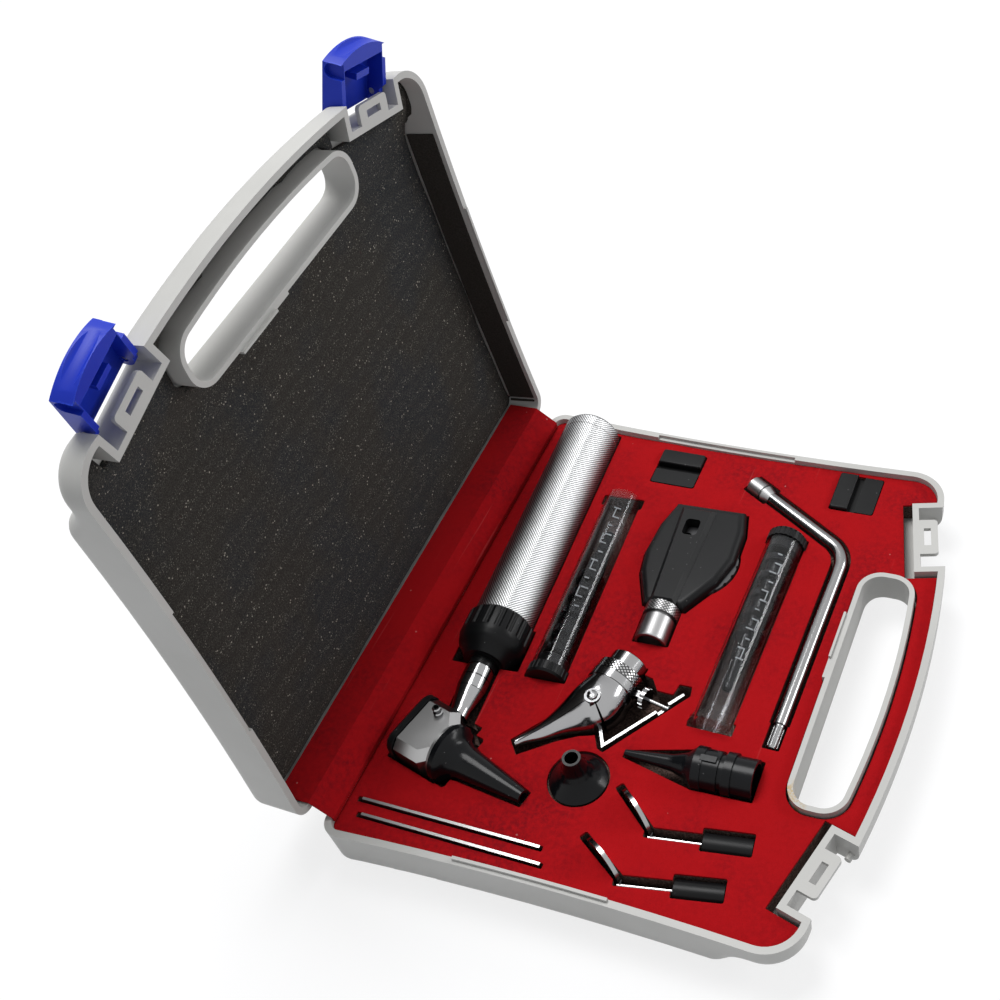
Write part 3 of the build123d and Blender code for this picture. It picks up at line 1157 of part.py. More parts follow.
def pockets():
    """Room for every instrument, as one set of cutters."""
    side = HANDLE_RADIUS + FIT
    collar = COLLAR_RADIUS + FIT
    neck = STEM_RADIUS + 2 * FIT
    skirt = SKIRT_RADIUS + FIT
    tube = TUBE_RADIUS + FIT
    collar_end = HANDLE_START - COLLAR_LENGTH - FIT
    with BuildPart() as cutters:
        pocket(handle_frame, (HANDLE_START, HANDLE_END + CAP_LENGTH + FIT), (-side, side),
               HANDLE_AXIS_Z - side)
        pocket(handle_frame, (collar_end, HANDLE_START + FIT), (-collar, collar),
               HANDLE_AXIS_Z - collar)
        pocket(handle_frame, (-64.0, collar_end + 4), (-neck, neck), HANDLE_AXIS_Z - neck)
        pocket(head_frame, (-FIT, HEAD_END + HEAD_RING + 4), (-HEAD_LEFT - 1.6, HEAD_RIGHT + 1.6),
               HANDLE_AXIS_Z - HEAD_BOTTOM - 2.4)
        pocket(head_frame, (HEAD_END - FIT, HEAD_END + 10.5), (-skirt, skirt),
               HANDLE_AXIS_Z - skirt, radius=1.5)
        nose = HEAD_END + HEAD_RING + RIM_GAP
        end = nose + FUNNEL_LENGTH + 2 * FIT
        prism(placed(head_frame, 0, 0, -9.4), [(nose + 8, 9.4), (nose + 12, 8.4), (end, FUNNEL_TIP + 2 * FIT),
                                                (end, -FUNNEL_TIP - 2 * FIT), (nose + 12, -8.4),
                                                (nose + 8, -9.4)], HALF_DEPTH)
        for place, turn in ((TUBE_A_PLACE, TUBE_A_TURN), (TUBE_B_PLACE, TUBE_B_TURN)):
            frame = tube_frame(place, turn)
            cap = TUBE_CAP_RADIUS + FIT
            pocket(frame, (0, TUBE_LENGTH + FIT), (-tube, tube), place[2] - cap)
            pocket(frame, (-TUBE_CAP_LENGTH - FIT, FIT), (-cap, cap), place[2] - cap)
            foot = TUBE_RADIUS + max(TUBE_A_FOOT, TUBE_B_FOOT) + FIT
            pocket(frame, (TUBE_LENGTH - TUBE_FOOT_LENGTH, TUBE_LENGTH + FIT), (-foot, foot),
                   place[2] - foot)
        prism(placed(scope_frame, 0, 0, -SCOPE_DROP - FIT), scope_plan(2 * FIT), HALF_DEPTH)
        knurl = SOCKET_RING + FIT
        pocket(scope_frame, (-FIT, SCOPE_BODY_START + 2), (-knurl, knurl), SCOPE_Z - knurl)
        wheel = placed(wheel_frame, 0, 0, -SCOPE_DROP)
        with BuildSketch(wheel) as room:
            Circle(WHEEL_RADIUS + 2 * FIT)
        extrude(room.sketch, amount=HALF_DEPTH)
        with BuildSketch(placed(case_frame, 0, 0, ARM_Z - ARM_RADIUS - FIT)) as slot:
            with BuildLine():
                FilletPolyline(ARM_START, ARM_KNEE, ARM_END, radius=ARM_BEND)
            trace(line_width=ARM_SLOT)
        extrude(slot.sketch, amount=HALF_DEPTH)
        pocket(arm_frame, (-FIT - 0.5, ARM_SOCKET_LENGTH + FIT), (-6.0, 6.0), ARM_Z - ARM_SOCKET_RADIUS - FIT)
        pocket(arm_tip_frame, (-2.0, ARM_TIP_LENGTH + 1.0), (-4.0, 4.0), ARM_Z - ARM_RADIUS - FIT)
        ring = NASAL_RING + FIT
        collar = NASAL_SOCKET + FIT
        pocket(nasal_frame, (-FIT, 8.0), (-collar, collar), NASAL_Z - ring)
        pocket(nasal_frame, (7.0, 17.6 + FIT), (-ring, ring), NASAL_Z - ring)
        pocket(nasal_frame, (16.0, 30.0), (-NASAL_HORN - 1.8, NASAL_HORN + 1.3), NASAL_Z - ring - 0.6)
        prism(placed(beak_frame, 0, 0, -ring - 0.6),
              [(-8, -15.8), (5, -14.6), (12, -11.6), (22, -6.6), (BEAK_LENGTH + 1.2, -3.1),
               (BEAK_LENGTH + 1.2, 5.8), (22, 6.8), (12, 8.6), (6, 11.0), (-2, 13.0)], HALF_DEPTH)
        pocket_outline([(111.5, -15.5), (117.5, -17.0), (121.5, -22.5), (129.3, -22.8), (130.3, -16.8),
                        (136.4, -16.8), (137.4, -21.8), (111.8, -56.2), (109.6, -59.2), (106.4, -57.8),
                        (100.8, -48.4)], NASAL_Z - ring, radius=0.6)
        with BuildSketch(placed(case_frame, LARGE_X, LARGE_Y, LARGE_Z - FIT)) as round_seat:
            Circle(LARGE_RADIUS + 2 * FIT)
        extrude(round_seat.sketch, amount=HALF_DEPTH)
        body = ADAPTER_RADIUS + FIT
        pocket(adapter_frame, (ADAPTER_CONE - 1, adapter_length + 1.0), (-body, body), ADAPTER_Z - body)
        prism(placed(adapter_frame, 0, 0, -body),
              [(-1, 1.8), (ADAPTER_CONE, body), (ADAPTER_CONE, -body), (-1, -1.8)], HALF_DEPTH)
        for place, face, angle in ((MIRROR_1_PLACE, MIRROR_1_FACE, MIRROR_1_STEM),
                                   (MIRROR_2_PLACE, MIRROR_2_FACE, MIRROR_2_STEM)):
            disc, stem = mirror_frames(place, face, angle)
            flat = placed(disc, turn=(-90, 0, 0))
            pocket(flat, (-1.5, 2 * MIRROR_RADIUS + 2.0), (-MIRROR_FRAME - 1.2, 1.2),
                   MIRROR_Z - MIRROR_RADIUS - FIT, radius=1.0)
            pocket(stem, (-2.0, MIRROR_STEM_LENGTH + 1), (-2.6, 2.6), MIRROR_Z - 2.6, radius=1.0)
            grip = SLEEVE_RADIUS + FIT
            pocket(stem, (MIRROR_STEM_LENGTH - FIT, MIRROR_STEM_LENGTH + SLEEVE_LENGTH + FIT),
                   (-grip, grip), MIRROR_Z - grip, radius=1.0)
        for place, turn in ((BLADE_1_PLACE, BLADE_1_TURN), (BLADE_2_PLACE, BLADE_2_TURN)):
            slit = placed(case_frame, *place, 0, (0, 0, turn))
            pocket(slit, (-1.0, BLADE_LENGTH + 1.0), (-1.3, 1.3), BLADE_TOP - BLADE_HEIGHT - FIT, radius=0.5)
        for place, turn in ((BLOCK_1_PLACE, 0), (BLOCK_2_PLACE, 90)):
            seat = placed(case_frame, *place, 0, (0, 0, turn))
            half_x, half_y = BLOCK_SIZE[0] / 2 + FIT, BLOCK_SIZE[1] / 2 + FIT
            pocket(seat, (-half_x, half_x), (-half_y, half_y), BLOCK_TOP - BLOCK_SIZE[2] - FIT, radius=1.2)
    return cutters.part


def lining_block(frame, top, thickness):
    """Layer inside a case half, kept clear of walls, notches and handle opening."""
    with BuildPart() as layer:
        add(tub(frame, WALL + SOFT_GAP, FLOOR + SOFT_GAP, EDGE_RADIUS - WALL - SOFT_GAP))
        reach = HANDLE_X + WALL
        block(placed(frame, 0, 0, top), (-WALL, reach), (-CORNER_Y, CORNER_Y), -thickness, Mode.INTERSECT)
        for side in (1, -1):
            notch_block(frame, side, NOTCH_WALL + NOTCH_RELIEF, Mode.SUBTRACT,
                        NOTCH_WALL + NOTCH_SIDE_RELIEF)
        extrude(opening_outline(frame, OPENING_WALL + OPENING_RELIEF), amount=-HALF_DEPTH,
                mode=Mode.SUBTRACT)
        tongue = OPENING_WALL + GRIP_TONGUE_WIDTH + SOFT_GAP
        block(frame, (OPENING_X - tongue, OPENING_X),
              (GRIP_TONGUE_Y0 - GRIP_TONGUE_FOOT - SOFT_GAP, GRIP_TONGUE_Y1 + SOFT_GAP), -HALF_DEPTH,
              Mode.SUBTRACT)
    return layer


def foam_insert(cutters):
    """Foam block of the base with the instrument pockets."""
    with BuildPart() as insert:
        add(lining_block(case_frame, FLEECE_LEVEL - FLEECE, HALF_DEPTH).part)
        add(cutters, mode=Mode.SUBTRACT)
    return insert


def fleece_cover(cutters):
    """Red cloth on the foam, cut out with it."""
    with BuildPart() as cover:
        add(lining_block(case_frame, FLEECE_LEVEL, FLEECE).part)
        add(cutters, mode=Mode.SUBTRACT)
    return cover


def lid_foam():
    """Foam pad of the lid, thicker over the handle end."""
    low = -LID_FOAM_LEVEL
    grip = -LID_FOAM_GRIP_LEVEL
    step = LID_FOAM_LEVEL - LID_FOAM_GRIP_LEVEL
    reach = HANDLE_X + WALL
    with BuildPart() as pad:
        add(lining_block(lid_shell_frame, grip, HALF_DEPTH).part)
        with BuildSketch(placed(lid_shell_frame, turn=(90, 0, 0))) as profile:
            with BuildLine():
                Polyline((-WALL, low), (LID_FOAM_STEP_X, low), (LID_FOAM_STEP_X + step, grip),
                         (reach, grip), (reach, -HALF_DEPTH), (-WALL, -HALF_DEPTH), close=True)
            make_face()
        extrude(profile.sketch, amount=CORNER_Y, both=True, mode=Mode.INTERSECT)
    return pad


def hinge_flap():
    """Cloth that carries on from the base lining over the hinge to the lid foam's edge."""
    inner = SPINE_X + WALL + SOFT_GAP
    draft = (LID_FOAM_LEVEL - SOFT_GAP) * tan(radians(DRAFT))
    lid_edge = placed(lid_frame, inner + draft, 0, LID_FOAM_LEVEL - SOFT_GAP).origin
    lid_rim = placed(lid_frame, inner, 0, 0).origin
    offset_x = case_frame.origin.X
    offset_z = case_frame.origin.Z
    with BuildPart() as flap:
        with BuildSketch(placed(case_frame, 0, 0, 0, (90, 0, 0))) as outline:
            with BuildLine():
                Polyline((lid_edge.X - offset_x, lid_edge.Z - offset_z + FLAP / 2),
                         (lid_rim.X - offset_x, lid_rim.Z - offset_z + FLAP / 2),
                         (inner + FLAP / 2, RIM_GAP), (inner + FLAP / 2, FLEECE_LEVEL + FLAP + SOFT_GAP))
            trace(line_width=FLAP)
        extrude(outline.sketch, amount=FLAP_HALF, both=True)
    return flap


os.makedirs("parts", exist_ok=True)
finish(case_half(case_frame), "base_shell")
finish(case_half(lid_shell_frame), "lid_shell")
finish(hinge_pins(), "hinge_pins")
finish(latch(-1), "latch_front")
finish(latch(1), "latch_back")
finish(handle_tube(), "handle_tube")
finish(handle_end_cap(), "handle_end_cap")
finish(battery_cells(), "battery_cells")
finish(battery_spring(), "battery_spring")
finish(rheostat_collar(), "rheostat_collar")
finish(handle_neck(), "handle_neck")
finish(otoscope_neck(), "otoscope_neck")
finish(otoscope_housing(), "otoscope_housing")
finish(insufflation_port(), "insufflation_port")
finish(otoscope_lamp(), "otoscope_lamp")
finish(window_frame(), "window_frame")
finish(window_lens(), "window_lens")
finish(ear_speculum(), "ear_speculum")
for name, place, turn, foot in (("tube_a", TUBE_A_PLACE, TUBE_A_TURN, TUBE_A_FOOT),
                                ("tube_b", TUBE_B_PLACE, TUBE_B_TURN, TUBE_B_FOOT)):
    frame = tube_frame(place, turn)
    finish(specula_tube(frame, foot), name)
    finish(tube_cap(frame), name + "_cap")
    finish(specula_stack(frame, TUBE_PLUG + 3.0), name + "_specula")
finish(ophthalmoscope_housing(), "ophthalmoscope_housing")
finish(ophthalmoscope_socket(), "ophthalmoscope_socket")
finish(lens_wheel(), "lens_wheel")
finish(arm_socket(), "arm_socket")
finish(arm_rod(), "arm_rod")
finish(arm_tip(), "arm_tip")
finish(nasal_body(), "nasal_speculum_body")
finish(nasal_blade(), "nasal_speculum_blade")
finish(nasal_pivot_screw(), "nasal_pivot_screw")
finish(thumb_screw(), "nasal_thumb_screw")
finish(large_speculum(), "large_speculum")
finish(adapter_speculum(), "adapter_speculum")
for name, place, face, angle in (("mirror_1", MIRROR_1_PLACE, MIRROR_1_FACE, MIRROR_1_STEM),
                                 ("mirror_2", MIRROR_2_PLACE, MIRROR_2_FACE, MIRROR_2_STEM)):
    disc, stem = mirror_frames(place, face, angle)
    finish(mirror_head(disc, stem), name + "_head")
    finish(mirror_glass(disc), name + "_glass")
    finish(mirror_sleeve(stem), name + "_sleeve")
finish(slim_blade(BLADE_1_PLACE, BLADE_1_TURN, True), "slim_blade_1")
finish(slim_blade(BLADE_2_PLACE, BLADE_2_TURN, False), "slim_blade_2")
finish(slotted_block(BLOCK_1_PLACE, 0), "slotted_block_1")
finish(slotted_block(BLOCK_2_PLACE, 90), "slotted_block_2")
cutters = pockets()
finish(foam_insert(cutters), "foam_insert")
finish(fleece_cover(cutters), "fleece_cover")
finish(lid_foam(), "lid_foam")
finish(hinge_flap(), "hinge_flap")
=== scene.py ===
import json
from math import cos, pi, radians, sin

import bmesh
import bpy
from mathutils import Matrix, Vector, noise


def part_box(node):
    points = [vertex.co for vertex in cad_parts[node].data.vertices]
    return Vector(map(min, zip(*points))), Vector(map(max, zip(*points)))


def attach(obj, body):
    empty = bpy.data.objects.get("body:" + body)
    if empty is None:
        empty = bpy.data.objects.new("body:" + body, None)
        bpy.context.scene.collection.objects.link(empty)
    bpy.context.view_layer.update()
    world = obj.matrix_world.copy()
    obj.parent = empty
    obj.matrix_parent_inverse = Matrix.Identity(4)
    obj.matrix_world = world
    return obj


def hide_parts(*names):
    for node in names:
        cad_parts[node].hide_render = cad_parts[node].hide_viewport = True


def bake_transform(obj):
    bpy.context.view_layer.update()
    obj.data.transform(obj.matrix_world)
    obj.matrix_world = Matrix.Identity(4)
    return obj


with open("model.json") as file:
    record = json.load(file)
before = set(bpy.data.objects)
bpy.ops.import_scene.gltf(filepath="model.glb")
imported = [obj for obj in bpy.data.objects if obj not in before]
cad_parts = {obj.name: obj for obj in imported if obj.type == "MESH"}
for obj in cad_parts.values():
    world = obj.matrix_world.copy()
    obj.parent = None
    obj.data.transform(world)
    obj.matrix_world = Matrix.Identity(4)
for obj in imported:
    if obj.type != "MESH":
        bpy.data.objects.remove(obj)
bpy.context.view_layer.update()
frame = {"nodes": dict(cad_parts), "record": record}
nodes = frame["nodes"]
MM = 0.001
HINGE = Vector((-0.118, 0.0, 0.027))
OPEN_ANGLE = radians(94.0)
JOIN_DISTANCE = 0.000004          # metres between points that are one
CASE_MIDDLE = (0.0, 0.0, 0.03)
FLOOR_SIZE = 6.0
FLOOR_DROP = 0.0002
FLOOR_GLOW = 0.72                 # share of plain white in what the camera sees of the floor

# Millimetres of the lid's own frame
LID_PAD_LEVEL = 15.8
LID_PAD_GRIP_LEVEL = 8.0
LID_PAD_SLOPE = (177.0, 203.0)
LID_PAD_LIP = 1.6
LINING_PAINTED_SHADE_RIM = 2.2
LINING_PAINTED_SHADE_ENDS = (11.0, 181.0)

# Level axes of round pieces: a point of the case frame and a turn in degrees
HANDLE_AXIS = ((36.5, 0.0, -1.2), 92.57)
SCOPE_AXIS = ((109.0, 1.0, -3.4), 92.0)
NASAL_AXIS = ((104.1, -11.0, -3.6), -101.8)
TUBE_A_AXIS = ((67.25, 2.35, -4.5), 92.46)
TUBE_B_AXIS = ((152.27, 44.13, -3.0), -90.7)
TUBE_RADIUS = 9.0
HANDLE_KNURL_PITCH = 2 * pi / 3900
RING_KNURL_PITCH = 0.0016


def at(x, y, z):
    """A point of the case frame, in millimetres from the hinge axis and the parting plane."""
    return HINGE + Vector((x, y, z)) * MM


def on_lid(x, y, h):
    """The same for the open lid: h is the depth above the parting plane when shut."""
    c, s = cos(OPEN_ANGLE), sin(OPEN_ANGLE)
    return HINGE + Vector((x * c - h * s, y, x * s + h * c)) * MM


def lid_place(point):
    """Case-frame X, Y and depth of a point of the open lid, in millimetres."""
    c, s = cos(OPEN_ANGLE), sin(OPEN_ANGLE)
    x, y, z = (point - HINGE) / MM
    return x * c + z * s, y, z * c - x * s


# ---------------------------------------------------------------- shader nodes
def group(name, inputs, outputs):
    """A new shader group with named sockets: (name, kind, default) in, (name, kind) out."""
    tree = bpy.data.node_groups.new(name, "ShaderNodeTree")
    for label, kind, value in inputs:
        socket = tree.interface.new_socket(name=label, in_out="INPUT", socket_type=kind)
        if value is not None:
            socket.default_value = value
    for label, kind in outputs:
        tree.interface.new_socket(name=label, in_out="OUTPUT", socket_type=kind)
    return tree, tree.nodes.new("NodeGroupInput"), tree.nodes.new("NodeGroupOutput")


def math(tree, kind, a, b=None, c=None):
    """One Math node; inputs are sockets or numbers."""
    node = tree.nodes.new("ShaderNodeMath")
    node.operation = kind
    for number, value in enumerate((a, b, c)):
        if value is None:
            continue
        if hasattr(value, "links"):
            tree.links.new(value, node.inputs[number])
        else:
            node.inputs[number].default_value = value
    return node.outputs[0]


def noise_node(tree, vector, scale, detail=2.0, roughness=0.5):
    """Noise texture value at a scale per metre; scale may be a socket."""
    node = tree.nodes.new("ShaderNodeTexNoise")
    tree.links.new(vector, node.inputs["Vector"])
    if hasattr(scale, "links"):
        tree.links.new(scale, node.inputs["Scale"])
    else:
        node.inputs["Scale"].default_value = scale
    node.inputs["Detail"].default_value = detail
    node.inputs["Roughness"].default_value = roughness
    return node.outputs[0]


def ramp(tree, value, low, high):
    """Smooth 0 to 1 step between two values."""
    node = tree.nodes.new("ShaderNodeMapRange")
    node.interpolation_type = "SMOOTHSTEP"
    tree.links.new(value, node.inputs["Value"])
    node.inputs["From Min"].default_value = low
    node.inputs["From Max"].default_value = high
    return node.outputs[0]


def blend_colour(tree, factor, a, b):
    """Mix of two colours; each is a socket or (r, g, b)."""
    node = tree.nodes.new("ShaderNodeMix")
    node.data_type = "RGBA"
    if hasattr(factor, "links"):
        tree.links.new(factor, node.inputs[0])
    else:
        node.inputs[0].default_value = factor
    for number, value in ((6, a), (7, b)):
        if hasattr(value, "links"):
            tree.links.new(value, node.inputs[number])
        else:
            node.inputs[number].default_value = (*value, 1)
    return node.outputs[2]


# ---------------------------------------------------------------- camera, light and floor
def set_camera():
    """Camera from the front, high above the handle side, slightly rolled."""
    data = bpy.data.cameras.new("camera")
    data.sensor_width = 36.0
    data.lens = 55.353
    data.shift_x = -0.17426
    data.shift_y = -0.07881
    data.clip_end = 50.0
    camera = bpy.data.objects.new("camera", data)
    place = (0.2292182, -0.3710239, 0.5874369)
    right = Vector((0.92771263, 0.34390503, -0.14518474))
    down = Vector((0.14766344, -0.69528594, -0.703401))
    ahead = Vector((-0.34284805, 0.63111551, -0.69580775))
    turn = Matrix((right, -down, -ahead)).transposed().to_4x4()
    camera.matrix_world = Matrix.Translation(place) @ turn
    bpy.context.scene.collection.objects.link(camera)
    bpy.context.scene.camera = camera


def area_light(name, place, size, power):
    """A soft rectangular lamp that faces the middle of the case."""
    data = bpy.data.lights.new(name, "AREA")
    data.shape = "RECTANGLE"
    data.size, data.size_y = size
    data.energy = power
    lamp = bpy.data.objects.new(name, data)
    aim = (Vector(CASE_MIDDLE) - Vector(place)).to_track_quat("-Z", "Y")
    lamp.matrix_world = Matrix.Translation(place) @ aim.to_matrix().to_4x4()
    bpy.context.scene.collection.objects.link(lamp)


def seen_rays(tree):
    """1 for rays from the camera, also by way of a gloss or through something clear."""
    path = tree.nodes.new("ShaderNodeLightPath")
    straight = math(tree, "MAXIMUM", path.outputs["Is Camera Ray"], path.outputs["Is Transmission Ray"])
    return math(tree, "MAXIMUM", straight, path.outputs["Is Glossy Ray"])


def set_world():
    """White surroundings for the camera and for reflections, plain grey light for the rest."""
    world = bpy.data.worlds.new("studio")
    bpy.context.scene.world = world
    world.use_nodes = True
    tree = world.node_tree
    tree.nodes.clear()
    plain = tree.nodes.new("ShaderNodeBackground")
    plain.inputs["Color"].default_value = (0.93, 0.96, 1.0, 1)
    plain.inputs["Strength"].default_value = 0.34
    white = tree.nodes.new("ShaderNodeBackground")
    white.inputs["Color"].default_value = (1, 1, 1, 1)
    white.inputs["Strength"].default_value = 1.0
    mix = tree.nodes.new("ShaderNodeMixShader")
    out = tree.nodes.new("ShaderNodeOutputWorld")
    tree.links.new(seen_rays(tree), mix.inputs[0])
    tree.links.new(plain.outputs[0], mix.inputs[1])
    tree.links.new(white.outputs[0], mix.inputs[2])
    tree.links.new(mix.outputs[0], out.inputs["Surface"])


def set_floor():
    """Pale floor under the case, kept nearly white to the camera with the case's shadow on it."""
    mesh = bpy.data.meshes.new("floor")
    bm = bmesh.new()
    bmesh.ops.create_grid(bm, x_segments=1, y_segments=1, size=FLOOR_SIZE)
    bm.to_mesh(mesh)
    bm.free()
    floor = bpy.data.objects.new("floor", mesh)
    floor.location.z = -FLOOR_DROP
    bpy.context.scene.collection.objects.link(floor)
    material = bpy.data.materials.new("floor_white")
    material.use_nodes = True
    tree = material.node_tree
    tree.nodes.clear()
    plain = tree.nodes.new("ShaderNodeBsdfDiffuse")
    plain.inputs["Color"].default_value = (0.82, 0.82, 0.83, 1)
    glow = tree.nodes.new("ShaderNodeEmission")
    glow.inputs["Color"].default_value = (1, 1, 1, 1)
    glow.inputs["Strength"].default_value = 1.08
    mix = tree.nodes.new("ShaderNodeMixShader")
    out = tree.nodes.new("ShaderNodeOutputMaterial")
    tree.links.new(math(tree, "MULTIPLY", seen_rays(tree), FLOOR_GLOW), mix.inputs[0])
    tree.links.new(plain.outputs[0], mix.inputs[1])
    tree.links.new(glow.outputs[0], mix.inputs[2])
    tree.links.new(mix.outputs[0], out.inputs["Surface"])
    mesh.materials.append(material)


bpy.context.scene.view_settings.view_transform = "Standard"
set_camera()
set_world()
set_floor()
area_light("key", place=(-0.48, 0.45, 1.8), size=(0.9, 0.9), power=29.0)
area_light("window", place=(1.33, 0.92, 0.77), size=(0.9, 0.35), power=9.0)


# ---------------------------------------------------------------- shader groups
def make_grain_group():
    """Moulded or cast grain: height for a bump and a slow stain mask."""
    tree, start, end = group("surface_grain", [("Vector", "NodeSocketVector", None),
                                               ("Scale", "NodeSocketFloat", 1500.0)],
                             [("Height", "NodeSocketFloat"), ("Stain", "NodeSocketFloat")])
    fine = noise_node(tree, start.outputs["Vector"], start.outputs["Scale"], 3.0, 0.6)
    slow = noise_node(tree, start.outputs["Vector"], 14.0, 4.0, 0.6)
    tree.links.new(fine, end.inputs["Height"])
    tree.links.new(ramp(tree, slow, 0.35, 0.7), end.inputs["Stain"])
    return tree


def make_edge_group():
    """Edge wear: 1 on convex and concave edges within a radius, broken up by noise."""
    tree, start, end = group("edge_wear", [("Vector", "NodeSocketVector", None),
                                           ("Radius", "NodeSocketFloat", 0.0006)],
                             [("Edge", "NodeSocketFloat")])
    rounded = tree.nodes.new("ShaderNodeBevel")
    rounded.samples = 4
    tree.links.new(start.outputs["Radius"], rounded.inputs["Radius"])
    geometry = tree.nodes.new("ShaderNodeNewGeometry")
    dot = tree.nodes.new("ShaderNodeVectorMath")
    dot.operation = "DOT_PRODUCT"
    tree.links.new(rounded.outputs[0], dot.inputs[0])
    tree.links.new(geometry.outputs["Normal"], dot.inputs[1])
    bent = math(tree, "SUBTRACT", 1.0, dot.outputs["Value"])
    broken = noise_node(tree, start.outputs["Vector"], 900.0, 3.0, 0.6)
    mask = math(tree, "MULTIPLY", ramp(tree, bent, 0.02, 0.2), ramp(tree, broken, 0.3, 0.6))
    tree.links.new(mask, end.inputs["Edge"])
    return tree


def make_dust_group():
    """Sparse specks of dust and lint."""
    tree, start, end = group("dust", [("Vector", "NodeSocketVector", None),
                                      ("Scale", "NodeSocketFloat", 500.0),
                                      ("Amount", "NodeSocketFloat", 0.04)],
                             [("Speck", "NodeSocketFloat")])
    cells = tree.nodes.new("ShaderNodeTexVoronoi")
    tree.links.new(start.outputs["Vector"], cells.inputs["Vector"])
    tree.links.new(start.outputs["Scale"], cells.inputs["Scale"])
    split = tree.nodes.new("ShaderNodeSeparateColor")
    tree.links.new(cells.outputs["Color"], split.inputs[0])
    chosen = math(tree, "LESS_THAN", split.outputs[0], start.outputs["Amount"])
    near = math(tree, "LESS_THAN", cells.outputs["Distance"], 0.32)
    tree.links.new(math(tree, "MULTIPLY", chosen, near), end.inputs["Speck"])
    return tree


GRAIN = make_grain_group()
EDGE = make_edge_group()
DUST = make_dust_group()


# ---------------------------------------------------------------- materials
def put(tree, shared, **values):
    """Place a shared group in a material with its own values."""
    node = tree.nodes.new("ShaderNodeGroup")
    node.node_tree = shared
    for label, value in values.items():
        socket = node.inputs[label]
        if hasattr(value, "links"):
            tree.links.new(value, socket)
        else:
            socket.default_value = value
    return node


def start_material(name, **settings):
    """Principled material; returns tree, shader and the object coordinates."""
    material = bpy.data.materials.new(name)
    material.use_nodes = True
    tree = material.node_tree
    shader = tree.nodes["Principled BSDF"]
    for label, value in settings.items():
        shader.inputs[label.replace("_", " ")].default_value = value
    coordinates = tree.nodes.new("ShaderNodeTexCoord").outputs["Object"]
    return material, tree, shader, coordinates


def bump(tree, shader, height, strength, distance, before=None):
    """Bump into the shader's normal, after an earlier one if given."""
    node = tree.nodes.new("ShaderNodeBump")
    node.inputs["Strength"].default_value = strength
    node.inputs["Distance"].default_value = distance
    tree.links.new(height, node.inputs["Height"])
    if before is not None:
        tree.links.new(before, node.inputs["Normal"])
    tree.links.new(node.outputs[0], shader.inputs["Normal"])
    return node.outputs[0]


def case_plastic():
    """Light warm grey moulding with fine grain, paler rubbed edges and a glue stain."""
    material, tree, shader, place = start_material("case_plastic", Roughness=0.5)
    grain = put(tree, GRAIN, Vector=place, Scale=1700.0)
    edge = put(tree, EDGE, Vector=place, Radius=0.0005)
    base = blend_colour(tree, grain.outputs["Stain"], (0.500, 0.495, 0.475), (0.455, 0.450, 0.430))
    wear = math(tree, "MULTIPLY", edge.outputs["Edge"], 0.5)
    rubbed = blend_colour(tree, wear, base, (0.62, 0.61, 0.59))
    glue_place = Vector((0.0785, -0.060, 0.0255))
    spot = tree.nodes.new("ShaderNodeMapping")
    spot.inputs["Location"].default_value = -glue_place
    tree.links.new(place, spot.inputs["Vector"])
    reach = tree.nodes.new("ShaderNodeVectorMath")
    reach.operation = "LENGTH"
    tree.links.new(spot.outputs[0], reach.inputs[0])
    near = math(tree, "SUBTRACT", 1.0, ramp(tree, reach.outputs["Value"], 0.002, 0.012))
    patchy = ramp(tree, noise_node(tree, place, 260.0, 3.0, 0.6), 0.42, 0.6)
    glue = math(tree, "MULTIPLY", near, patchy)
    colour = blend_colour(tree, glue, rubbed, (0.42, 0.27, 0.07))
    tree.links.new(colour, shader.inputs["Base Color"])
    bump(tree, shader, grain.outputs["Height"], 0.25, 0.00012)
    return material


def blue_plastic():
    """Glossy royal blue moulding, paler on rubbed ridges."""
    material, tree, shader, place = start_material("latch_plastic", Roughness=0.40)
    shader.inputs["Specular IOR Level"].default_value = 0.2
    grain = put(tree, GRAIN, Vector=place, Scale=600.0)
    edge = put(tree, EDGE, Vector=place, Radius=0.0008)
    base = blend_colour(tree, grain.outputs["Stain"], (0.010, 0.034, 0.47), (0.008, 0.027, 0.40))
    wear = math(tree, "MULTIPLY", edge.outputs["Edge"], 0.5)
    colour = blend_colour(tree, wear, base, (0.04, 0.10, 0.76))
    tree.links.new(colour, shader.inputs["Base Color"])
    bump(tree, shader, grain.outputs["Height"], 0.12, 0.0001)
    return material


def black_plastic(name, colour, roughness, shine, grain_scale, strength):
    """Black moulding with greyed edges and light dust."""
    material, tree, shader, place = start_material(name, Roughness=roughness)
    shader.inputs["Specular IOR Level"].default_value = shine
    grain = put(tree, GRAIN, Vector=place, Scale=grain_scale)
    edge = put(tree, EDGE, Vector=place, Radius=0.0004)
    dust = put(tree, DUST, Vector=place, Scale=1100.0, Amount=0.006)
    paler = tuple(min(1.0, 3.2 * c + 0.02) for c in colour)
    base = blend_colour(tree, grain.outputs["Stain"], colour, tuple(1.5 * c for c in colour))
    worn = blend_colour(tree, math(tree, "MULTIPLY", edge.outputs["Edge"], 0.7), base, paler)
    specks = math(tree, "MULTIPLY", dust.outputs["Speck"], 0.25)
    dusty = blend_colour(tree, specks, worn, (0.3, 0.3, 0.3))
    tree.links.new(dusty, shader.inputs["Base Color"])
    rough = math(tree, "MULTIPLY_ADD", grain.outputs["Stain"], 0.12, roughness - 0.04)
    tree.links.new(rough, shader.inputs["Roughness"])
    bump(tree, shader, grain.outputs["Height"], strength, 0.0001)
    return material


def painted_dark_reflection_mask(tree, low, high):
    """Mask for a painted dark reflection: 0 where a surface faces the eye, 1 where it turns away."""
    weight = tree.nodes.new("ShaderNodeLayerWeight")
    weight.inputs["Blend"].default_value = 0.5
    return ramp(tree, weight.outputs["Facing"], low, high)


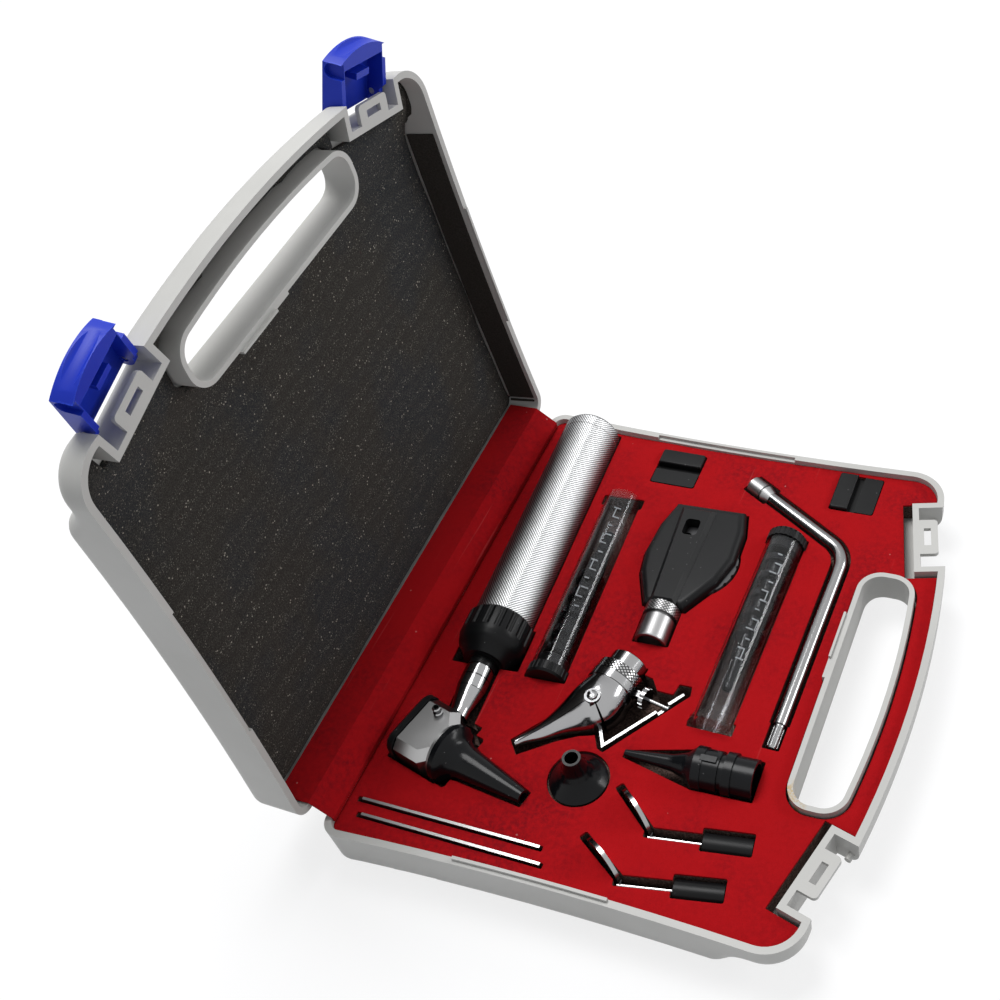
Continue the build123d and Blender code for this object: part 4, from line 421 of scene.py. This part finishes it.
def axis_place(tree, place, axis):
    """Sockets for the distance along a level axis, the angle round it and the radius."""
    point, turn = axis
    local = tree.nodes.new("ShaderNodeMapping")
    local.vector_type = "TEXTURE"
    local.inputs["Location"].default_value = at(*point)
    local.inputs["Rotation"].default_value = (0, 0, radians(turn))
    tree.links.new(place, local.inputs["Vector"])
    split = tree.nodes.new("ShaderNodeSeparateXYZ")
    tree.links.new(local.outputs[0], split.inputs[0])
    around = math(tree, "ARCTAN2", split.outputs["Y"], split.outputs["Z"])
    squares = [math(tree, "POWER", split.outputs[label], 2.0) for label in ("Y", "Z")]
    return split.outputs["X"], around, math(tree, "SQRT", math(tree, "ADD", *squares))


def within(tree, value, low, high):
    """1 between two values, otherwise 0."""
    above = math(tree, "GREATER_THAN", value, low)
    return math(tree, "MULTIPLY", above, math(tree, "LESS_THAN", value, high))


def slanted_ridges(tree, along, around, count, pitch):
    """Heights of left and right hand ridges: count round the axis, pitch along it in metres."""
    ridges = []
    for lean in ("ADD", "SUBTRACT"):
        phase = math(tree, lean, math(tree, "MULTIPLY", around, count),
                     math(tree, "MULTIPLY", along, 2 * pi / pitch))
        ridges.append(math(tree, "MULTIPLY_ADD", math(tree, "SINE", phase), 0.5, 0.5))
    return ridges


def bright_metal(name, colour, deep, roughness, strength, knurls=(), joints=()):
    """Plated metal with faint handling marks; its colour is darkened where it turns away from the eye, a
    painted dark reflection.

    A knurl is (axis, from, to, least radius, count round); a joint is a dark line given by
    (axis, from, to, greatest radius). Lengths are in millimetres along the axis."""
    material, tree, shader, place = start_material(name, Metallic=1.0, Roughness=roughness)
    grain = put(tree, GRAIN, Vector=place, Scale=420.0)
    handled = blend_colour(tree, grain.outputs["Stain"], colour, tuple(0.9 * c for c in colour))
    # painted dark reflection: the colour goes to the deep tone where the surface turns away from the eye
    base = blend_colour(tree, painted_dark_reflection_mask(tree, 0.02, 0.72), handled, deep)
    height = grain.outputs["Height"]
    for axis, start, stop, radius, count in knurls:
        along, around, far = axis_place(tree, place, axis)
        zone = math(tree, "MULTIPLY", within(tree, along, start * MM, stop * MM),
                    within(tree, far, radius * MM, (radius + 2.0) * MM))
        cut = math(tree, "MINIMUM", *slanted_ridges(tree, along, around, count, RING_KNURL_PITCH))
        groove_painted_shade = math(tree, "MULTIPLY", zone, ramp(tree, cut, 0.42, 0.16))
        base = blend_colour(tree, zone, base, blend_colour(tree, 0.5, base, (0.6, 0.6, 0.6)))
        # painted shade: the knurl's grooves are darkened
        base = blend_colour(tree, groove_painted_shade, base, (0.07, 0.07, 0.072))
        raised = math(tree, "MULTIPLY", math(tree, "MULTIPLY", zone, cut), 6.0)
        height = math(tree, "ADD", height, raised)
    for axis, start, stop, radius in joints:
        along, _, far = axis_place(tree, place, axis)
        zone = math(tree, "MULTIPLY", within(tree, along, start * MM, stop * MM),
                    math(tree, "LESS_THAN", far, radius * MM))
        base = blend_colour(tree, math(tree, "MULTIPLY", zone, 0.9), base, (0.02, 0.02, 0.02))
    tree.links.new(base, shader.inputs["Base Color"])
    rough = math(tree, "MULTIPLY_ADD", grain.outputs["Stain"], 0.08, roughness)
    tree.links.new(rough, shader.inputs["Roughness"])
    bump(tree, shader, height, strength, 0.00006)
    return material


def knurled_metal():
    """Satin plated metal with a fine herringbone knurl round the battery handle; its colour holds painted
    highlights on the ridges, painted shade in the grooves and a painted dark reflection where it turns
    away.
    """
    material, tree, shader, place = start_material("knurled_metal", Metallic=1.0, Roughness=0.42)
    along, around, _ = axis_place(tree, place, HANDLE_AXIS)
    ridges = slanted_ridges(tree, along, around, 62.0, HANDLE_KNURL_PITCH)
    side = ramp(tree, around, -0.42, -0.28)
    mixed = tree.nodes.new("ShaderNodeMix")
    tree.links.new(side, mixed.inputs[0])
    tree.links.new(ridges[0], mixed.inputs[2])
    tree.links.new(ridges[1], mixed.inputs[3])
    crossed = math(tree, "MULTIPLY", ridges[0], ridges[1])
    height = math(tree, "MULTIPLY_ADD", mixed.outputs[0], 0.8, math(tree, "MULTIPLY", crossed, 0.2))
    # painted light: ridges painted bright as highlights, grooves painted dark as shade
    lit = blend_colour(tree, ramp(tree, height, 0.1, 0.9), (0.24, 0.245, 0.25), (0.86, 0.87, 0.88))
    # painted shade: a darker copy of the knurl colours for where the surface turns away from the eye
    dark = blend_colour(tree, height, (0.03, 0.03, 0.032), (0.24, 0.24, 0.25))
    colour = blend_colour(tree, painted_dark_reflection_mask(tree, 0.2, 0.62), lit, dark)
    tree.links.new(colour, shader.inputs["Base Color"])
    bump(tree, shader, height, 0.8, 0.00018)
    return material


def clear_plastic(name, tint, roughness, clearness):
    """Clear moulding with a glossy skin."""
    material, tree, shader, place = start_material(name, Roughness=roughness)
    shader.inputs["Transmission Weight"].default_value = clearness
    shader.inputs["IOR"].default_value = 1.06
    shader.inputs["Coat Weight"].default_value = 0.35
    shader.inputs["Coat Roughness"].default_value = 0.05
    grain = put(tree, GRAIN, Vector=place, Scale=200.0)
    colour = blend_colour(tree, grain.outputs["Stain"], tint, tuple(0.94 * c for c in tint))
    tree.links.new(colour, shader.inputs["Base Color"])
    return material


def mirror_glass():
    """Silvered glass with faint smears."""
    material, tree, shader, place = start_material("mirror_glass", Metallic=1.0, Roughness=0.03)
    smear = ramp(tree, noise_node(tree, place, 160.0, 3.0, 0.6), 0.5, 0.8)
    silver = blend_colour(tree, smear, (0.8, 0.8, 0.81), (0.62, 0.62, 0.64))
    tree.links.new(silver, shader.inputs["Base Color"])
    tree.links.new(math(tree, "MULTIPLY_ADD", smear, 0.08, 0.03), shader.inputs["Roughness"])
    return material


def red_cloth():
    """Bright red flocked cloth: fine pile, brushed patches and stray lint."""
    material, tree, shader, place = start_material("red_fleece", Roughness=0.95)
    shader.inputs["Specular IOR Level"].default_value = 0.15
    shader.inputs["Sheen Weight"].default_value = 0.05
    shader.inputs["Sheen Roughness"].default_value = 0.4
    shader.inputs["Sheen Tint"].default_value = (1.0, 0.25, 0.22, 1)
    pile = noise_node(tree, place, 2600.0, 2.0, 0.7)
    tuft = noise_node(tree, place, 420.0, 4.0, 0.65)
    brushed = ramp(tree, noise_node(tree, place, 19.0, 5.0, 0.6), 0.32, 0.62)
    dust = put(tree, DUST, Vector=place, Scale=700.0, Amount=0.0015)
    strokes = tree.nodes.new("ShaderNodeMapping")
    strokes.inputs["Scale"].default_value = (1.0, 0.03, 1.0)
    tree.links.new(place, strokes.inputs["Vector"])
    scratch = ramp(tree, noise_node(tree, strokes.outputs[0], 420.0, 2.0, 0.5), 0.70, 0.78)
    deep = blend_colour(tree, brushed, (0.205, 0.0020, 0.0060), (0.365, 0.0024, 0.0048))
    fibre = blend_colour(tree, ramp(tree, tuft, 0.3, 0.7), deep, (0.375, 0.0030, 0.0060))
    shade = blend_colour(tree, ramp(tree, pile, 0.2, 0.45), (0.235, 0.0016, 0.0036), fibre)
    brighter = blend_colour(tree, math(tree, "MULTIPLY", scratch, 0.18), shade, (0.55, 0.10, 0.10))
    specks = math(tree, "MULTIPLY", dust.outputs["Speck"], 0.3)
    lint = blend_colour(tree, specks, brighter, (0.6, 0.35, 0.33))
    tree.links.new(lint, shader.inputs["Base Color"])
    first = bump(tree, shader, tuft, 0.2, 0.0005)
    bump(tree, shader, pile, 0.25, 0.0002, first)
    return material


def dark_foam():
    """Charcoal foam with pale flecks and slow blue and brown clouds."""
    material, tree, shader, place = start_material("lid_foam", Roughness=0.9)
    shader.inputs["Specular IOR Level"].default_value = 0.2
    cloud = noise_node(tree, place, 17.0, 3.0, 0.55)
    tint = blend_colour(tree, ramp(tree, cloud, 0.40, 0.60), (0.021, 0.019, 0.016), (0.013, 0.0165, 0.021))
    pores = noise_node(tree, place, 1500.0, 3.0, 0.8)
    base = blend_colour(tree, ramp(tree, pores, 0.40, 0.66), tint, (0.052, 0.048, 0.042))
    fine = put(tree, DUST, Vector=place, Scale=2100.0, Amount=0.22)
    small = put(tree, DUST, Vector=place, Scale=1350.0, Amount=0.15)
    large = put(tree, DUST, Vector=place, Scale=900.0, Amount=0.03)
    colour = base
    for specks, share, pale in ((fine, 0.6, (0.15, 0.14, 0.125)), (small, 0.6, (0.24, 0.225, 0.19)),
                                (large, 0.8, (0.42, 0.39, 0.33))):
        colour = blend_colour(tree, math(tree, "MULTIPLY", specks.outputs["Speck"], share), colour, pale)
    tree.links.new(colour, shader.inputs["Base Color"])
    bump(tree, shader, pores, 0.7, 0.0006)
    return material


def lid_lining_painted_shade():
    """Thin smooth grey-brown foam sheet on the lid's side walls; its dark tone is also painted shade of
    those walls.
    """
    material, tree, shader, place = start_material("lid_lining_painted_shade", Roughness=0.85)
    shader.inputs["Specular IOR Level"].default_value = 0.25
    grain = put(tree, GRAIN, Vector=place, Scale=1400.0)
    pores = ramp(tree, grain.outputs["Height"], 0.35, 0.65)
    # dark grey-brown: the sheet's own tone together with painted shade of the lid walls
    base = blend_colour(tree, grain.outputs["Stain"], (0.030, 0.026, 0.022), (0.036, 0.032, 0.028))
    colour = blend_colour(tree, pores, (0.0210, 0.0182, 0.0154), base)
    tree.links.new(colour, shader.inputs["Base Color"])
    bump(tree, shader, grain.outputs["Height"], 0.3, 0.0002)
    return material


def pocket_foam():
    """Grey-brown open foam seen in the pocket walls."""
    material, tree, shader, place = start_material("insert_foam", Roughness=0.95)
    shader.inputs["Specular IOR Level"].default_value = 0.15
    pores = noise_node(tree, place, 1100.0, 4.0, 0.75)
    cloud = noise_node(tree, place, 90.0, 3.0, 0.6)
    base = blend_colour(tree, ramp(tree, cloud, 0.35, 0.65), (0.175, 0.112, 0.094), (0.245, 0.168, 0.142))
    colour = blend_colour(tree, ramp(tree, pores, 0.4, 0.65), (0.060, 0.038, 0.032), base)
    tree.links.new(colour, shader.inputs["Base Color"])
    bump(tree, shader, pores, 0.8, 0.0008)
    return material


MATERIALS = {
    "case_plastic": case_plastic(),
    "latch_plastic": blue_plastic(),
    "black_plastic": black_plastic("black_plastic", (0.0045, 0.0047, 0.0051), 0.36, 0.14,
                                   1400.0, 0.25),
    "grey_plastic": black_plastic("grey_plastic", (0.035, 0.035, 0.037), 0.4, 0.3, 900.0, 0.2),
    "speculum_plastic": black_plastic("speculum_plastic", (0.0030, 0.0034, 0.0042), 0.20, 0.16,
                                      700.0, 0.12),
    "cell_jacket": black_plastic("cell_jacket", (0.05, 0.05, 0.055), 0.4, 0.4, 500.0, 0.1),
    # the second colour of each bright metal is the tone of its painted dark reflection
    "chrome": bright_metal("chrome", (0.38, 0.38, 0.385), (0.06, 0.06, 0.065), 0.12, 0.10,
                           knurls=[(NASAL_AXIS, 7.6, 12.5, 11.0, 34.0)],
                           joints=[(NASAL_AXIS, 12.6, 12.95, 13.5), (NASAL_AXIS, 16.9, 17.2, 13.5),
                                   (HANDLE_AXIS, -40.2, -39.6, 9.0),
                                   (HANDLE_AXIS, -46.3, -46.0, 9.0)]),
    "satin_metal": bright_metal("satin_metal", (0.42, 0.42, 0.42), (0.10, 0.10, 0.105), 0.30, 0.12,
                                knurls=[(SCOPE_AXIS, 14.4, 20.2, 8.2, 28.0)]),
    "pin_steel": bright_metal("pin_steel", (0.5, 0.5, 0.5), (0.2, 0.2, 0.2), 0.35, 0.2),
    "knurled_metal": knurled_metal(),
    "lamp_glass": clear_plastic("lamp_glass", (0.95, 0.95, 0.9), 0.05, 0.9),
    "lens_glass": clear_plastic("lens_glass", (0.93, 0.95, 0.95), 0.02, 0.95),
    "clear_tube": clear_plastic("clear_tube", (0.86, 0.87, 0.89), 0.02, 1.0),
    # pale grey tube marks: a painted highlight
    "raised_mark_painted_highlight": black_plastic("raised_mark_painted_highlight", (0.20, 0.21, 0.22), 0.25, 0.5, 900.0, 0.1),
    "mirror_glass": mirror_glass(),
    "red_fleece": red_cloth(),
    "lid_foam": dark_foam(),
    "insert_foam": pocket_foam(),
    "lid_lining_painted_shade": lid_lining_painted_shade(),
}
SLOT_OF = {entry["node"]: entry["material_slot"] for entry in frame["record"]["subparts"]}


# ---------------------------------------------------------------- shading of the rigid pieces
def make_smoothing():
    """Geometry group: joins loose triangles and shades them smooth up to an angle."""
    tree = bpy.data.node_groups.new("joined_smooth", "GeometryNodeTree")
    tree.interface.new_socket(name="Mesh", in_out="INPUT", socket_type="NodeSocketGeometry")
    angle = tree.interface.new_socket(name="Angle", in_out="INPUT", socket_type="NodeSocketFloat")
    angle.default_value = radians(32)
    tree.interface.new_socket(name="Mesh", in_out="OUTPUT", socket_type="NodeSocketGeometry")
    start, end = tree.nodes.new("NodeGroupInput"), tree.nodes.new("NodeGroupOutput")
    merge = tree.nodes.new("GeometryNodeMergeByDistance")
    merge.inputs["Distance"].default_value = JOIN_DISTANCE
    bend = tree.nodes.new("GeometryNodeInputMeshEdgeAngle")
    soft = tree.nodes.new("ShaderNodeMath")
    soft.operation = "LESS_THAN"
    edges = tree.nodes.new("GeometryNodeSetShadeSmooth")
    edges.domain = "EDGE"
    faces = tree.nodes.new("GeometryNodeSetShadeSmooth")
    faces.domain = "FACE"
    tree.links.new(start.outputs["Mesh"], merge.inputs["Geometry"])
    tree.links.new(bend.outputs["Unsigned Angle"], soft.inputs[0])
    tree.links.new(start.outputs["Angle"], soft.inputs[1])
    tree.links.new(merge.outputs["Geometry"], edges.inputs["Geometry"])
    tree.links.new(soft.outputs[0], edges.inputs["Shade Smooth"])
    tree.links.new(edges.outputs["Geometry"], faces.inputs["Geometry"])
    tree.links.new(faces.outputs["Geometry"], end.inputs["Mesh"])
    return tree


SMOOTHING = make_smoothing()


def dress(node):
    """Give a rigid CAD node its material and smooth shading."""
    piece = nodes[node]
    piece.data.materials.clear()
    piece.data.materials.append(MATERIALS[SLOT_OF[node]])
    modifier = piece.modifiers.new("smooth", "NODES")
    modifier.node_group = SMOOTHING


for name in nodes:
    dress(name)


# ---------------------------------------------------------------- soft lining
def solid_copy(node):
    """A merged copy of a CAD node's mesh as a bmesh with flat faces dissolved."""
    bm = bmesh.new()
    bm.from_mesh(nodes[node].data)
    bmesh.ops.remove_doubles(bm, verts=bm.verts, dist=JOIN_DISTANCE)
    bmesh.ops.dissolve_limit(bm, angle_limit=radians(1.0), verts=bm.verts, edges=bm.edges)
    return bm


def grid_cuts(bm, low, high, step, axes):
    """Cut a mesh by parallel planes so that it can bend between them."""
    for axis in axes:
        normal = Vector([1.0 if number == axis else 0.0 for number in range(3)])
        count = int((high[axis] - low[axis]) / step)
        for number in range(1, count + 1):
            point = Vector(low) + normal * (number * (high[axis] - low[axis]) / (count + 1))
            everything = bm.verts[:] + bm.edges[:] + bm.faces[:]
            bmesh.ops.bisect_plane(bm, geom=everything, plane_co=point, plane_no=normal, dist=0.00001)


def add_piece(name, bm, slot, body, finish=None):
    """Make an object of a bmesh: its slot's material or another finish, and the body it rides."""
    mesh = bpy.data.meshes.new(name)
    bm.to_mesh(mesh)
    bm.free()
    piece = bpy.data.objects.new(name, mesh)
    bpy.context.scene.collection.objects.link(piece)
    mesh.materials.append(MATERIALS[finish or slot])
    if body:
        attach(piece, body)
    return piece


def fleece_top():
    """Red cloth on the insert: soft cut edges and slight unevenness."""
    bm = solid_copy("fleece_cover")
    rim = [edge for edge in bm.edges if len(edge.link_faces) == 2
           and max(face.normal.z for face in edge.link_faces) > 0.9
           and min(face.normal.z for face in edge.link_faces) < 0.3]
    bmesh.ops.bevel(bm, geom=rim, offset=0.0004, offset_type="OFFSET", segments=2, profile=0.5,
                    affect="EDGES", clamp_overlap=True, material=-1)
    low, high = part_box("fleece_cover")
    grid_cuts(bm, low, high, 0.006, (0, 1))
    for vertex in bm.verts:
        if vertex.co.z > low[2] + 0.0004:
            wave = noise.noise(vertex.co * 45.0) * 0.00022 + noise.noise(vertex.co * 190.0) * 0.00008
            vertex.co.z += wave
    for face in bm.faces:
        face.smooth = face.normal.z > 0.3
    piece = add_piece("red_lining", bm, "red_fleece", "base")
    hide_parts("fleece_cover")
    return piece


def insert_block():
    """Foam of the base with its pockets."""
    bm = solid_copy("foam_insert")
    piece = add_piece("foam_block", bm, "insert_foam", "base")
    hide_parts("foam_insert")
    return piece


def lid_pad():
    """Foam pad of the lid: a soft slope to the thin end and slight hollows."""
    bm = solid_copy("lid_foam")
    low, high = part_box("lid_foam")
    grid_cuts(bm, low, high, 0.004, (1, 2))
    drop = LID_PAD_LEVEL - LID_PAD_GRIP_LEVEL
    slope_start, slope_end = LID_PAD_SLOPE
    away = Vector((-sin(OPEN_ANGLE), 0.0, cos(OPEN_ANGLE))) * MM
    bm.normal_update()
    for vertex in bm.verts:
        x, y, depth = lid_place(vertex.co)
        if depth > LID_PAD_LEVEL + 0.3:
            continue
        share = min(max((x - slope_start) / (slope_end - slope_start), 0.0), 1.0)
        share = share * share * (3 - 2 * share)
        level = LID_PAD_LEVEL - drop * share
        wide = noise.noise(Vector((x, y, 0.0)) * 0.035) * 0.5
        small = noise.noise(Vector((x, y, 9.0)) * 0.12) * 0.2
        level += wide + small
        if min(face.normal.dot(away) for face in vertex.link_faces) > -0.0003:
            continue
        lip = any(abs(face.normal.dot(away)) < 0.0003 for face in vertex.link_faces)
        vertex.co += away * (level + (LID_PAD_LIP if lip else 0.0) - depth)
    for face in bm.faces:
        face.smooth = face.normal.dot(away) < -0.0004
    piece = add_piece("lid_pad", bm, "lid_foam", "lid")
    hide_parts("lid_foam")
    return piece


def lid_wall_lining_painted_shade():
    """Thin foam sheet on the lid's front and back walls, between the pad and the rim; its dark colour is
    also painted shade of the walls.
    """
    bm = solid_copy("lid_shell")
    up = Vector((-sin(OPEN_ANGLE), 0.0, cos(OPEN_ANGLE)))
    along = Vector((cos(OPEN_ANGLE), 0.0, sin(OPEN_ANGLE)))
    cuts = ((on_lid(0, 0, LINING_PAINTED_SHADE_RIM), -up), (on_lid(0, 0, LID_PAD_LEVEL + 0.2), up),
            (on_lid(LINING_PAINTED_SHADE_ENDS[0], 0, 0), -along), (on_lid(LINING_PAINTED_SHADE_ENDS[1], 0, 0), along))
    for place, normal in cuts:
        everything = bm.verts[:] + bm.edges[:] + bm.faces[:]
        bmesh.ops.bisect_plane(bm, geom=everything, plane_co=place, plane_no=normal, clear_outer=True)
    bm.normal_update()
    stray = [face for face in bm.faces
             if face.normal.y * face.calc_center_median().y > 0 or abs(face.normal.y) < 0.8
             or not 0.112 < abs(face.calc_center_median().y) < 0.1262]
    bmesh.ops.delete(bm, geom=stray, context="FACES")
    for vertex in bm.verts:
        vertex.co.y -= 0.0006 * (1 if vertex.co.y > 0 else -1)
    bmesh.ops.solidify(bm, geom=bm.faces[:], thickness=0.0005)
    bmesh.ops.recalc_face_normals(bm, faces=bm.faces[:])
    for face in bm.faces:
        face.smooth = False
    return add_piece("lid_wall_lining_painted_shade", bm, "lid_foam", "lid", "lid_lining_painted_shade")


def raised_marks(name, body, axis, first, count=12, pitch=5.6):
    """Row of short raised bars moulded along a clear tube, some joined at one end; their pale grey colour
    is a painted highlight.
    """
    point, turn = axis
    tilt = 17.0 if turn > 0 else -17.0
    spin = Matrix.Rotation(radians(turn), 4, "Z") @ Matrix.Rotation(radians(tilt), 4, "X")
    tube_frame = Matrix.Translation(at(*point)) @ spin
    bm = bmesh.new()

    def bar(along, across, above, size):
        stretch = Matrix.Diagonal((*size, 1.0))
        place = Matrix.Translation((along, across, TUBE_RADIUS * MM + above))
        bmesh.ops.create_cube(bm, size=1.0, matrix=tube_frame @ place @ stretch)

    for number in range(count):
        along = (first + pitch * number) * MM
        width = 0.0034 if number % 3 else 0.0022
        shift = 0.0006 if number % 2 else -0.0004
        bar(along, shift, 0.0, (0.0006, width, 0.0004))
        if number % 3 == 1:
            bar(along + pitch * MM / 2, shift + width / 2 - 0.0003, -0.0001, (pitch * MM, 0.0005, 0.0004))
    return add_piece(name, bm, "clear_tube", body, "raised_mark_painted_highlight")


def hinge_cloth():
    """Red cloth stretched over the hinge, glued to the insert and to the lid."""
    bm = solid_copy("hinge_flap")
    piece = add_piece("hinge_cloth", bm, "red_fleece", None)
    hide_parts("hinge_flap")
    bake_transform(piece)
    return piece


fleece_top()
insert_block()
lid_pad()
lid_wall_lining_painted_shade()
hinge_cloth()
raised_marks("tube_a_marks", "tube_a", TUBE_A_AXIS, first=6.0)
raised_marks("tube_b_marks", "tube_b", TUBE_B_AXIS, first=-15.0)
